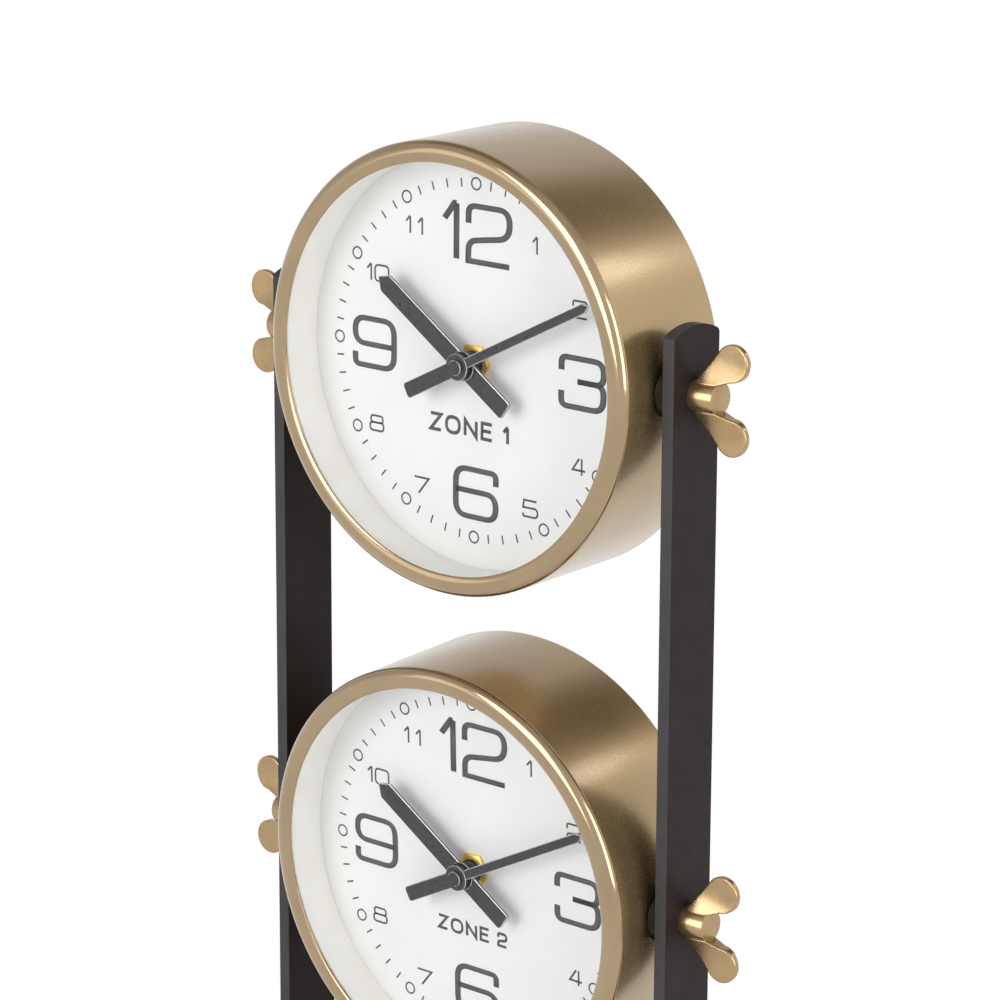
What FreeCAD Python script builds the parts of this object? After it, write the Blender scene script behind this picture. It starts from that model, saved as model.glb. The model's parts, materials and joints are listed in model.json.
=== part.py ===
import FreeCAD, Part
import math
import os
from types import SimpleNamespace

import Sketcher
from FreeCAD import Placement, Rotation, Vector

# A tower of three drum clocks that tilt between two flat uprights on a heavy base.
# Frame: origin on the surface it stands on, under the middle; +Z up, faces look along -Y.
# Lengths are in millimetres, angles in degrees.
SIZES = {
    # stand
    "base_width": 200.0,
    "base_depth": 130.0,
    "base_thickness": 6.0,
    "base_corner": 14.0,
    "foot_radius": 9.0,
    "foot_height": 4.0,
    "foot_inset": 17.0,
    "bar_thickness": 4.4,
    "bar_width": 23.8,
    "bar_rise": 22.7,
    "bar_crown_radius": 25.0,
    "bar_bend_radius": 3.0,
    "tab_length": 36.0,
    "tab_screw_radius": 2.5,
    "tab_screw_head_radius": 4.6,
    "tab_screw_head_height": 2.7,
    "tab_screw_setback": 12.0,
    "tab_screw_spacing": 12.0,
    "lower_pivot_height": 110.0,
    "pivot_pitch": 175.7,
    # tilt pivots
    "spacer_radius": 10.0,
    "spacer_thickness": 5.3,
    "screw_radius": 3.0,
    "screw_point": 0.8,
    "screw_end_gap": 1.0,
    "barrel_radius": 5.4,
    "barrel_length": 9.6,
    "barrel_edge": 0.5,
    "wing_thickness": 2.2,
    "wing_half_span": 12.0,
    "wing_reach": 14.3,
    "wing_lobe_radius": 6.1,
    "wing_root_drop": 1.2,
    "wing_root_thickness": 8.4,
    "wing_thinning_end": 11.0,
    "wing_slant": 139.0,
    # drum case
    "drum_radius": 75.5,
    "drum_wall": 1.2,
    "drum_front": 22.0,
    "drum_back": 26.3,
    "drum_back_round": 1.0,
    "window_half": 38.0,
    "window_corner": 8.0,
    "ledge_width": 2.8,
    "ledge_thickness": 1.0,
    "boss_radius": 4.6,
    "boss_length": 8.4,
    # bezel, lens and dial
    "bezel_depth": 2.65,
    "bezel_opening": 68.5,
    "bezel_outer_round": 2.5,
    "bezel_inner_round": 0.3,
    "bezel_lip": 0.9,
    "spigot_depth": 6.0,
    "spigot_wall": 1.4,
    "lens_thickness": 2.0,
    "wall_ring_radius": 70.0,
    "wall_ring_thickness": 2.0,
    "dial_depth": 6.8,
    "dial_thickness": 1.0,
    # quartz movement
    "movement_half": 28.0,
    "movement_depth": 14.0,
    "movement_wall": 1.5,
    "movement_corner": 3.0,
    "cover_thickness": 2.0,
    "bushing_radius": 3.9,
    "bushing_reach": 4.0,
    "nut_flat": 5.8,
    "nut_thickness": 1.4,
    "battery_radius": 7.25,
    "battery_length": 49.2,
    "battery_nub_radius": 2.75,
    "battery_nub_length": 1.3,
    "board_thickness": 1.2,
    "board_width": 14.0,
    "board_height": 32.0,
    "coil_radius": 3.0,
    "coil_length": 24.0,
    # motion work
    "gear_module": 0.5,
    "wheel_thickness": 1.2,
    "pinion_length": 2.6,
    "wheel_level": 0.5,
    "level_gap": 1.2,
    "hour_pipe_radius": 2.5,
    "arbor_radius": 1.6,
    "arbor_pivot_radius": 0.7,
    "arbor_pivot_reach": 1.8,
    "pivot_boss_radius": 2.2,
    "pivot_boss_height": 3.2,
    "post_radius": 0.8,
    "knob_shaft_radius": 1.2,
    "knob_radius": 5.5,
    "knob_length": 3.4,
    "knob_groove_radius": 0.7,
    "knob_seat_depth": 1.0,
    # hands
    "hand_thickness": 1.0,
    "hour_hand_lift": 5.8,
    "minute_hand_lift": 8.4,
    "hour_hand_length": 44.2,
    "hour_hand_tail": 22.3,
    "hour_hand_half_width": 3.45,
    "hour_hand_point": 3.6,
    "hour_hub_radius": 5.0,
    "minute_hand_length": 61.3,
    "minute_hand_tail": 25.0,
    "minute_tail_half_width": 2.75,
    "minute_hand_half_width": 1.68,
    "minute_hand_tip_half_width": 1.66,
    "minute_hand_point": 2.6,
    "minute_hub_radius": 4.5,
    "minute_hub_rise": 0.3,
    "hand_tail_corner": 1.2,
    "collar_wall": 1.1,
    "cap_radius": 2.6,
    "cap_rise": 1.3,
    # fits: a running shaft, a loose hole, pieces that rest in each other, drum past its spacers
    "running_clearance": 0.05,
    "loose_clearance": 0.4,
    "seat_clearance": 0.1,
    "side_clearance": 0.3,
    "tooth_backlash": 0.12,
    # pose: the clocks' forward lean and the time that the hands show
    "upper_lean": 0.95,
    "middle_lean": 2.8,
    "lower_lean": 0.0,
    "hour_hand_angle": 305.5,
    "minute_hand_angle": 63.5,
}

CANNON_TEETH = 10
MOTION_WHEEL_TEETH = 30
MOTION_PINION_TEETH = 8
HOUR_WHEEL_TEETH = 32
KNOB_TEETH = 10
KNOB_GROOVES = 12
PRESSURE_ANGLE = 20.0
LEVELS = ["lower", "middle", "upper"]


class Size:
    """A dimension: its number, and the sheet expression that gives it."""

    def __init__(self, value, text):
        self.value = value
        self.text = text

    def __add__(self, other):
        other = as_size(other)
        return Size(self.value + other.value, f"({self.text} + {other.text})")

    def __sub__(self, other):
        other = as_size(other)
        return Size(self.value - other.value, f"({self.text} - {other.text})")

    def __mul__(self, other):
        other = as_size(other)
        return Size(self.value * other.value, f"({self.text} * {other.text})")

    def __truediv__(self, other):
        other = as_size(other)
        return Size(self.value / other.value, f"({self.text} / {other.text})")

    def __neg__(self):
        return Size(-self.value, f"(0 - {self.text})")


def as_size(item):
    return item if isinstance(item, Size) else Size(float(item), repr(float(item)))


def root(size):
    return Size(math.sqrt(size.value), f"sqrt({size.text})")


def cosine(angle):
    return Size(math.cos(math.radians(angle.value)), f"cos({angle.text} * 1 deg)")


def sine(angle):
    return Size(math.sin(math.radians(angle.value)), f"sin({angle.text} * 1 deg)")


doc = FreeCAD.newDocument("clock_tower")
sheet = doc.addObject("Spreadsheet::Sheet", "Sizes")
for row, (alias, number) in enumerate(SIZES.items(), start=1):
    sheet.set(f"A{row}", alias)
    sheet.set(f"B{row}", str(number))
    sheet.setAlias(f"B{row}", alias)
doc.recompute()
S = SimpleNamespace(**{alias: Size(number, f"Sizes.{alias}") for alias, number in SIZES.items()})
ZERO = as_size(0)


# Drawing

def new_body(label):
    body = doc.addObject("PartDesign::Body", label)
    body.Label = label
    return body


def origin_plane(body, role):
    return next(item for item in body.Origin.OriginFeatures if item.Role == role)


def arc_between(start, end, radius):
    """The shorter arc; a positive radius turns left on the way, a negative one right."""
    chord = end - start
    side = Vector(-chord.y, chord.x, 0).normalize()
    sagitta_leg = math.sqrt(max(radius * radius - chord.Length ** 2 / 4, 0))
    turn = math.copysign(1, radius)
    middle = (start + end) / 2
    centre = middle + side * (turn * sagitta_leg)
    crown = centre - side * abs(radius) * turn
    return Part.Arc(start, crown, end)


def circle(x, y, radius):
    return SimpleNamespace(x=as_size(x), y=as_size(y), radius=as_size(radius))


def rounded_box(left, right, low, high, corner):
    return [
        (left + corner, low), (right - corner, low, corner),
        (right, low + corner), (right, high - corner, corner),
        (right - corner, high), (left + corner, high, corner),
        (left, high - corner), (left, low + corner, corner),
    ]


def sketch_on(body, name, role, loops, offset=ZERO, turn=None):
    """Closed loops on a plane of the body's own origin, moved along its normal by offset.

    A loop is a circle, or corners (x, y) with an arc's radius as third item where one follows.
    """
    sketch = body.newObject("Sketcher::SketchObject", f"{body.Label}_{name}")
    sketch.AttachmentSupport = (origin_plane(body, role), [""])
    sketch.MapMode = "FlatFace"
    sketch.setExpression("AttachmentOffset.Base.z", as_size(offset).text)
    if turn is not None:
        sketch.AttachmentOffset = Placement(Vector(), Rotation(Vector(0, 0, 1), 1))
        sketch.setExpression("AttachmentOffset.Rotation.Angle", as_size(turn).text)
    for loop in loops:
        if isinstance(loop, SimpleNamespace):
            draw_circle(sketch, loop)
        else:
            draw_corners(sketch, loop)
    return sketch


def bind(sketch, kind, first, size):
    """One dimension of a point or a curve, tied to its expression."""
    size = as_size(size)
    index = sketch.addConstraint(Sketcher.Constraint(kind, *first, size.value))
    sketch.setExpression(f"Constraints[{index}]", size.text)


def draw_circle(sketch, loop):
    centre = Vector(loop.x.value, loop.y.value, 0)
    edge = sketch.addGeometry(Part.Circle(centre, Vector(0, 0, 1), loop.radius.value))
    bind(sketch, "Radius", (edge,), loop.radius)
    bind(sketch, "DistanceX", (-1, 1, edge, 3), loop.x)
    bind(sketch, "DistanceY", (-1, 1, edge, 3), loop.y)


def draw_corners(sketch, loop):
    points = [Vector(as_size(corner[0]).value, as_size(corner[1]).value, 0) for corner in loop]
    edges = []
    starts = []
    ends = []
    for place, corner in enumerate(loop):
        start = points[place]
        end = points[(place + 1) % len(points)]
        if len(corner) == 2:
            edges.append(sketch.addGeometry(Part.LineSegment(start, end)))
        else:
            edges.append(sketch.addGeometry(arc_between(start, end, as_size(corner[2]).value)))
        right_turn = len(corner) == 3 and as_size(corner[2]).value < 0
        starts.append(2 if right_turn else 1)
        ends.append(1 if right_turn else 2)
    for place in range(len(loop)):
        following = (place + 1) % len(loop)
        sketch.addConstraint(
            Sketcher.Constraint("Coincident", edges[place], ends[place], edges[following], starts[following])
        )
    for place, corner in enumerate(loop):
        bind(sketch, "DistanceX", (-1, 1, edges[place], starts[place]), corner[0])
        bind(sketch, "DistanceY", (-1, 1, edges[place], starts[place]), corner[1])
        if len(corner) == 3:
            radius = as_size(corner[2])
            bind(sketch, "Radius", (edges[place],), radius if radius.value > 0 else -radius)


def pad_forward(body, name, loops, back, front, turn=None):
    """Material from y = back to y = front, where front is nearer the viewer."""
    sketch = sketch_on(body, name, "XZ_Plane", loops, -as_size(back), turn)
    pad = body.newObject("PartDesign::Pad", f"{body.Label}_{name}_pad")
    pad.Profile = sketch
    pad.setExpression("Length", (as_size(back) - front).text)
    return pad


def cut_forward(body, name, loops, back, front, turn=None):
    """A hollow from y = back to y = front."""
    sketch = sketch_on(body, name, "XZ_Plane", loops, -as_size(back), turn)
    pocket = body.newObject("PartDesign::Pocket", f"{body.Label}_{name}_cut")
    pocket.Profile = sketch
    pocket.Reversed = True
    pocket.setExpression("Length", (as_size(back) - front).text)
    return pocket


def extrude(body, kind, name, role, loops, start, end):
    """A pad or pocket along a plane's own normal, from start to end."""
    sketch = sketch_on(body, name, role, loops, start)
    feature = body.newObject(f"PartDesign::{kind}", f"{body.Label}_{name}")
    feature.Profile = sketch
    feature.Reversed = kind == "Pocket"
    feature.setExpression("Length", (as_size(end) - start).text)
    return feature


def revolve(body, name, corners, axis):
    """Turn a profile in the XY plane about X (H_Axis) or Y (V_Axis)."""
    sketch = sketch_on(body, name, "XY_Plane", [corners])
    turned = body.newObject("PartDesign::Revolution", f"{body.Label}_{name}_turned")
    turned.Profile = sketch
    turned.ReferenceAxis = (sketch, [axis])
    turned.Angle = 360
    return turned


def pattern_round(body, feature, count):
    """Repeat a feature about the middle of its own sketch."""
    pattern = body.newObject("PartDesign::PolarPattern", f"{feature.Name}_round")
    pattern.Originals = [feature]
    pattern.Axis = (feature.Profile[0], ["N_Axis"])
    pattern.Angle = 360
    pattern.Occurrences = count
    body.Tip = pattern
    return pattern


def mirror_across(body, feature, role):
    mirrored = body.newObject("PartDesign::Mirrored", f"{feature.Name}_mirrored")
    mirrored.Originals = [feature]
    mirrored.MirrorPlane = (origin_plane(body, role), [""])
    body.Tip = mirrored
    return mirrored


# Levels along Y that several pieces share; the viewer is towards -Y

bar_inner = S.drum_radius + S.side_clearance + S.spacer_thickness
bar_outer = bar_inner + S.bar_thickness
drum_inner = S.drum_radius - S.drum_wall
rim_y = -S.drum_front
bezel_front_y = rim_y - S.bezel_depth
lens_front_y = bezel_front_y + S.bezel_lip
lens_back_y = lens_front_y + S.lens_thickness
dial_front_y = -S.dial_depth
dial_back_y = dial_front_y + S.dial_thickness
cavity_front_y = dial_back_y + S.movement_wall
cavity_back_y = dial_back_y + S.movement_depth
cover_back_y = cavity_back_y + S.cover_thickness
bushing_front_y = dial_front_y - S.bushing_reach
hour_wheel_front_y = cavity_front_y + S.wheel_level
hour_wheel_back_y = hour_wheel_front_y + S.wheel_thickness
motion_wheel_front_y = hour_wheel_back_y + S.level_gap
motion_wheel_back_y = motion_wheel_front_y + S.wheel_thickness
hour_hand_back_y = dial_front_y - S.hour_hand_lift
hour_hand_front_y = hour_hand_back_y - S.hand_thickness
minute_hand_back_y = dial_front_y - S.minute_hand_lift
minute_hand_front_y = minute_hand_back_y - S.hand_thickness
arbor_tip_y = minute_hand_front_y
bay_half = S.battery_radius + S.loose_clearance
bay_low = S.movement_wall - S.movement_half
bay_high = bay_low + bay_half * 2
cavity_low = bay_high + S.movement_wall
cavity_half = S.movement_half - S.movement_wall
gear_distance = S.gear_module * ((CANNON_TEETH + MOTION_WHEEL_TEETH) / 2)
knob_distance = S.gear_module * ((MOTION_WHEEL_TEETH + KNOB_TEETH) / 2)
knob_height = gear_distance + knob_distance


# Toothed wheels

def involute(angle):
    return math.tan(angle) - angle


def tooth_gap(teeth):
    """Corners of one gap between involute teeth, pointing along the sketch's second axis."""
    pressure = math.radians(PRESSURE_ANGLE)
    pitch = teeth / 2
    base = pitch * math.cos(pressure)
    backlash = SIZES["tooth_backlash"] / (2 * pitch * SIZES["gear_module"])
    half_at_base = math.pi / (2 * teeth) + backlash / 2 - involute(pressure)
    side = []
    for radius in (pitch - 1.25, max(base, pitch - 1.2), pitch, pitch + 0.5, pitch + 1):
        opening = half_at_base + involute(math.acos(min(base / radius, 1)))
        side.append((radius * math.sin(opening), radius * math.cos(opening)))
    side.append((side[-1][0], pitch + 2))
    left = [(S.gear_module * -x, S.gear_module * y) for x, y in side]
    right = [(S.gear_module * x, S.gear_module * y) for x, y in reversed(side)]
    return left + right


def add_teeth(body, name, teeth, back, front, half_pitches):
    """A toothed disc whose first gap is turned by so many half pitches from straight up."""
    tip_radius = S.gear_module * (teeth / 2 + 1)
    pad_forward(body, name, [circle(0, 0, tip_radius)], back, front)
    turn = as_size(half_pitches * 180 / teeth)
    gap = cut_forward(body, f"{name}_gap", [tooth_gap(teeth)], back, front, turn)
    return pattern_round(body, gap, teeth)


# Stand

def base_plate():
    body = new_body("base_plate")
    half_width = S.base_width / 2
    half_depth = S.base_depth / 2
    outline = rounded_box(-half_width, half_width, -half_depth, half_depth, S.base_corner)
    top = S.foot_height + S.base_thickness
    extrude(body, "Pad", "plate", "XY_Plane", [outline], S.foot_height, top)
    holes = [circle(x, y, S.tab_screw_radius + S.running_clearance) for x, y in tab_screw_places()]
    extrude(body, "Pocket", "screw_holes", "XY_Plane", holes, S.foot_height, top)
    return body


def tab_screw_places():
    x = bar_outer - S.tab_length + S.tab_screw_setback
    y = S.tab_screw_spacing / 2
    return [(x, y), (x, -y), (-x, y), (-x, -y)]


def rubber_feet():
    body = new_body("rubber_feet")
    x = S.base_width / 2 - S.foot_inset
    y = S.base_depth / 2 - S.foot_inset
    pads = [circle(x, y, S.foot_radius), circle(-x, y, S.foot_radius)]
    pads += [circle(x, -y, S.foot_radius), circle(-x, -y, S.foot_radius)]
    extrude(body, "Pad", "discs", "XY_Plane", pads, ZERO, S.foot_height)
    return body


def upright(side, half_turn):
    """A flat bar with a rounded top, bent in at the bottom into a screwed-down tab."""
    body = new_body(f"upright_{side}")
    floor = S.foot_height + S.base_thickness
    crown = S.lower_pivot_height + S.pivot_pitch * (len(LEVELS) - 1) + S.bar_rise
    tab_top = floor + S.bar_thickness
    tab_end = bar_outer - S.tab_length
    inner_bend = S.bar_bend_radius
    outer_bend = inner_bend + S.bar_thickness
    profile = [
        (bar_inner, crown), (bar_inner, tab_top + inner_bend, -inner_bend),
        (bar_inner - inner_bend, tab_top), (tab_end, tab_top),
        (tab_end, floor), (bar_outer - outer_bend, floor, outer_bend),
        (bar_outer, floor + outer_bend), (bar_outer, crown),
    ]
    half_width = S.bar_width / 2
    pad_forward(body, "strip", [profile], half_width, -half_width)
    crown_drop = S.bar_crown_radius - root(S.bar_crown_radius * S.bar_crown_radius - half_width * half_width)
    corners = [
        (half_width, crown - crown_drop, S.bar_crown_radius), (-half_width, crown - crown_drop),
        (-half_width, crown), (half_width, crown),
    ]
    extrude(body, "Pocket", "crown", "YZ_Plane", [corners], bar_inner, bar_outer)
    bore = S.screw_radius + S.running_clearance
    bores = [circle(0, pivot_height(level), bore) for level in LEVELS]
    extrude(body, "Pocket", "pivot_holes", "YZ_Plane", bores, bar_inner, bar_outer)
    holes = [circle(x, y, S.tab_screw_radius + S.loose_clearance) for x, y in tab_screw_places()[:2]]
    extrude(body, "Pocket", "tab_holes", "XY_Plane", holes, floor, tab_top)
    body.Placement = Placement(Vector(), Rotation(Vector(0, 0, 1), half_turn))
    return body


def foot_screws():
    body = new_body("foot_screws")
    seat = S.foot_height + S.base_thickness + S.bar_thickness
    shanks = [circle(x, y, S.tab_screw_radius) for x, y in tab_screw_places()]
    heads = [circle(x, y, S.tab_screw_head_radius) for x, y in tab_screw_places()]
    extrude(body, "Pad", "shanks", "XY_Plane", shanks, S.foot_height, seat)
    extrude(body, "Pad", "heads", "XY_Plane", heads, seat, seat + S.tab_screw_head_height)
    return body


def pivot_spacers():
    """Six washers between the drums and the bars, round the pivot screws."""
    body = new_body("pivot_spacers")
    rings = []
    for level in LEVELS:
        rings.append(circle(0, pivot_height(level), S.spacer_radius))
        rings.append(circle(0, pivot_height(level), S.screw_radius + S.loose_clearance))
    discs = extrude(body, "Pad", "discs", "YZ_Plane", rings, bar_inner - S.spacer_thickness, bar_inner)
    mirror_across(body, discs, "YZ_Plane")
    return body


def pivot_height(level):
    return S.lower_pivot_height + S.pivot_pitch * LEVELS.index(level)


# Clock case and face

def case(label):
    """A drawn cup with a service window, an inner ledge for the dial and a threaded boss each side."""
    body = new_body(label)
    back = S.drum_back
    inside = back - S.drum_wall
    ledge_back = dial_back_y + S.ledge_thickness
    ledge_inner = drum_inner - S.ledge_width
    profile = [
        (ZERO, inside), (drum_inner, inside), (drum_inner, ledge_back), (ledge_inner, ledge_back),
        (ledge_inner, dial_back_y), (drum_inner, dial_back_y), (drum_inner, rim_y),
        (S.drum_radius, rim_y), (S.drum_radius, back - S.drum_back_round, S.drum_back_round),
        (S.drum_radius - S.drum_back_round, back), (ZERO, back),
    ]
    revolve(body, "cup", profile, "V_Axis")
    half = S.window_half
    window = rounded_box(-half, half, -half, half, S.window_corner)
    cut_forward(body, "window", [window], back, inside)
    boss_end = drum_inner - S.boss_length
    weld = S.drum_radius - S.drum_wall / 2
    boss = extrude(body, "Pad", "boss", "YZ_Plane", [circle(0, 0, S.boss_radius)], boss_end, weld)
    mirror_across(body, boss, "YZ_Plane")
    bore = circle(0, 0, S.screw_radius + S.running_clearance)
    hole = extrude(body, "Pocket", "boss_bore", "YZ_Plane", [bore], boss_end, S.drum_radius)
    mirror_across(body, hole, "YZ_Plane")
    return body


def bezel(label):
    """A turned ring that presses into the case and holds the lens."""
    body = new_body(label)
    front = bezel_front_y
    outer = S.bezel_outer_round
    inner = S.bezel_inner_round
    spigot_outer = drum_inner - S.seat_clearance
    spigot_inner = spigot_outer - S.spigot_wall
    spigot_end = rim_y + S.spigot_depth
    profile = [
        (S.drum_radius, rim_y), (spigot_outer, rim_y), (spigot_outer, spigot_end),
        (spigot_inner, spigot_end), (spigot_inner, lens_front_y), (S.bezel_opening, lens_front_y),
        (S.bezel_opening, front + inner, inner), (S.bezel_opening + inner, front),
        (S.drum_radius - outer, front, outer), (S.drum_radius, front + outer),
    ]
    revolve(body, "ring", profile, "V_Axis")
    return body


def lens(label):
    body = new_body(label)
    radius = drum_inner - S.seat_clearance - S.spigot_wall - S.seat_clearance
    pad_forward(body, "disc", [circle(0, 0, radius)], lens_back_y, lens_front_y)
    return body


def dial_wall(label):
    """The pale ring that lines the well between lens and dial."""
    body = new_body(label)
    outer = S.wall_ring_radius + S.wall_ring_thickness
    rings = [circle(0, 0, outer), circle(0, 0, S.wall_ring_radius)]
    pad_forward(body, "ring", rings, dial_front_y, lens_back_y)
    return body


def dial(label):
    body = new_body(label)
    radius = drum_inner - S.seat_clearance
    rings = [circle(0, 0, radius), circle(0, 0, S.bushing_radius + S.seat_clearance)]
    pad_forward(body, "disc", rings, dial_back_y, dial_front_y)
    return body


# Movement

def movement_housing(label):
    """A square box with a gear cavity, an open battery bay and a threaded bushing through the dial."""
    body = new_body(label)
    half = S.movement_half
    outline = rounded_box(-half, half, -half, half, S.movement_corner)
    pad_forward(body, "box", [outline], cavity_back_y, dial_back_y)
    corner = S.movement_corner - S.movement_wall
    cavity = rounded_box(-cavity_half, cavity_half, cavity_low, cavity_half, corner)
    cut_forward(body, "cavity", [cavity], cavity_back_y, cavity_front_y)
    bay = rounded_box(-cavity_half, cavity_half, bay_low, bay_high, corner)
    cut_forward(body, "bay", [bay], cavity_back_y, cavity_front_y)
    pad_forward(body, "bushing", [circle(0, 0, S.bushing_radius)], dial_back_y, bushing_front_y)
    bore = circle(0, 0, S.hour_pipe_radius + S.running_clearance)
    cut_forward(body, "bushing_bore", [bore], cavity_front_y, bushing_front_y)
    post = circle(0, gear_distance, S.post_radius)
    pad_forward(body, "post", [post], motion_wheel_back_y, cavity_front_y)
    seat = circle(0, knob_height, S.post_radius + S.running_clearance)
    cut_forward(body, "knob_seat", [seat], cavity_front_y, cavity_front_y - S.knob_seat_depth)
    return body


def movement_cover(label):
    """The rear lid over the gears, with a bearing for the arbor and a hole for the setting shaft."""
    body = new_body(label)
    half = S.movement_half
    low = bay_high + S.seat_clearance
    outline = rounded_box(-half, half, low, half, S.movement_wall)
    pad_forward(body, "lid", [outline], cover_back_y, cavity_back_y)
    boss_end = cavity_back_y - S.pivot_boss_height
    pad_forward(body, "bearing", [circle(0, 0, S.pivot_boss_radius)], cavity_back_y, boss_end)
    bearing = circle(0, 0, S.arbor_pivot_radius + S.running_clearance)
    bearing_end = boss_end + S.arbor_pivot_reach + S.seat_clearance
    cut_forward(body, "bearing_bore", [bearing], bearing_end, boss_end)
    hole = circle(0, knob_height, S.knob_shaft_radius + S.running_clearance)
    cut_forward(body, "knob_hole", [hole], cover_back_y, cavity_back_y)
    return body


def battery(label):
    """A round cell lying in the bay, its flat end against the bay's end wall."""
    body = new_body(label)
    can_end = S.battery_length - cavity_half
    profile = [
        (-cavity_half, ZERO), (can_end + S.battery_nub_length, ZERO),
        (can_end + S.battery_nub_length, S.battery_nub_radius), (can_end, S.battery_nub_radius),
        (can_end, S.battery_radius), (-cavity_half, S.battery_radius),
    ]
    revolve(body, "cell", profile, "H_Axis")
    return body


def coil_board(label):
    """The circuit board with the drive coil, flat against the front wall of the housing."""
    body = new_body(label)
    left = S.seat_clearance - cavity_half
    low = cavity_low + S.seat_clearance
    board = rounded_box(left, left + S.board_width, low, low + S.board_height, S.movement_wall)
    board_back = cavity_front_y + S.board_thickness
    pad_forward(body, "board", [board], board_back, cavity_front_y)
    middle_x = left + S.board_width / 2
    middle_z = low + S.board_height / 2
    half_length = S.coil_length / 2
    coil_left = middle_x - S.coil_radius
    coil_right = middle_x + S.coil_radius
    coil_box = [
        (coil_left, middle_z - half_length), (coil_right, middle_z - half_length),
        (coil_right, middle_z + half_length), (coil_left, middle_z + half_length),
    ]
    pad_forward(body, "coil", [coil_box], board_back + S.coil_radius * 2, board_back)
    return body


def bushing_nut(label):
    """The hexagon nut that clamps the movement to the dial."""
    body = new_body(label)
    corner = S.nut_flat * (2 / math.sqrt(3))
    turns = [as_size(60 * step) for step in range(6)]
    hexagon = [(corner * cosine(turn), corner * sine(turn)) for turn in turns]
    rings = [hexagon, circle(0, 0, S.bushing_radius + S.running_clearance)]
    pad_forward(body, "nut", rings, dial_front_y, dial_front_y - S.nut_thickness)
    return body


# Hands and the wheels that drive them

def minute_arbor(label):
    """The shaft that carries the minute hand, with the pinion that drives the motion work."""
    body = new_body(label)
    pivot_end = cavity_back_y - S.pivot_boss_height + S.arbor_pivot_reach
    profile = [
        (ZERO, arbor_tip_y), (S.arbor_radius, arbor_tip_y), (S.arbor_radius, motion_wheel_back_y),
        (S.arbor_pivot_radius, motion_wheel_back_y), (S.arbor_pivot_radius, pivot_end), (ZERO, pivot_end),
    ]
    revolve(body, "shaft", profile, "V_Axis")
    add_teeth(body, "cannon", CANNON_TEETH, motion_wheel_back_y, motion_wheel_front_y, 1)
    return body


def hour_wheel(label):
    """A toothed wheel on a pipe that turns in the bushing and carries the hour hand."""
    body = new_body(label)
    add_teeth(body, "wheel", HOUR_WHEEL_TEETH, hour_wheel_back_y, hour_wheel_front_y, 1)
    pipe = circle(0, 0, S.hour_pipe_radius)
    pad_forward(body, "pipe", [pipe], hour_wheel_front_y, hour_hand_front_y)
    bore = circle(0, 0, S.arbor_radius + S.running_clearance)
    cut_forward(body, "bore", [bore], hour_wheel_back_y, hour_hand_front_y)
    return body


def motion_wheel(label):
    """The idler on a fixed post: a wheel turned by the minute pinion, a pinion that turns the hour wheel."""
    body = new_body(label)
    add_teeth(body, "wheel", MOTION_WHEEL_TEETH, motion_wheel_back_y, motion_wheel_front_y, 0)
    pinion_front = motion_wheel_front_y - S.pinion_length
    add_teeth(body, "pinion", MOTION_PINION_TEETH, motion_wheel_front_y, pinion_front, 0)
    bore = circle(0, 0, S.post_radius + S.running_clearance)
    cut_forward(body, "bore", [bore], motion_wheel_back_y, pinion_front)
    return body


def setting_knob(label):
    """The finger knob behind the movement, on a shaft with a pinion in the motion wheel."""
    body = new_body(label)
    pivot_tip = cavity_front_y - S.knob_seat_depth + S.seat_clearance
    knob_front = cover_back_y + S.loose_clearance
    knob_back = knob_front + S.knob_length
    profile = [
        (ZERO, pivot_tip), (S.post_radius, pivot_tip), (S.post_radius, motion_wheel_front_y),
        (S.knob_shaft_radius, motion_wheel_front_y), (S.knob_shaft_radius, knob_front),
        (S.knob_radius, knob_front), (S.knob_radius, knob_back), (ZERO, knob_back),
    ]
    revolve(body, "shaft", profile, "V_Axis")
    add_teeth(body, "pinion", KNOB_TEETH, motion_wheel_back_y, motion_wheel_front_y, 1)
    groove = circle(0, S.knob_radius, S.knob_groove_radius)
    grooves = cut_forward(body, "groove", [groove], knob_back, knob_front)
    pattern_round(body, grooves, KNOB_GROOVES)
    return body


def hour_hand(label):
    """A flat bar with a blunt point and a square tail, on a collar."""
    body = new_body(label)
    half = S.hour_hand_half_width
    corner = S.hand_tail_corner
    outline = [
        (-half, corner - S.hour_hand_tail, corner), (corner - half, -S.hour_hand_tail),
        (half - corner, -S.hour_hand_tail, corner), (half, corner - S.hour_hand_tail),
        (half, S.hour_hand_length - S.hour_hand_point), (ZERO, S.hour_hand_length),
        (-half, S.hour_hand_length - S.hour_hand_point),
    ]
    turn = -S.hour_hand_angle
    pad_forward(body, "blade", [outline], hour_hand_back_y, hour_hand_front_y, turn)
    hub = circle(0, 0, S.hour_hub_radius)
    pad_forward(body, "hub", [hub], hour_hand_back_y, hour_hand_front_y)
    collar = circle(0, 0, S.hour_pipe_radius + S.collar_wall)
    pad_forward(body, "collar", [collar], bushing_front_y - S.loose_clearance, hour_hand_back_y)
    bore = circle(0, 0, S.hour_pipe_radius + S.running_clearance)
    cut_forward(body, "bore", [bore], bushing_front_y - S.loose_clearance, hour_hand_front_y)
    return body


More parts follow.
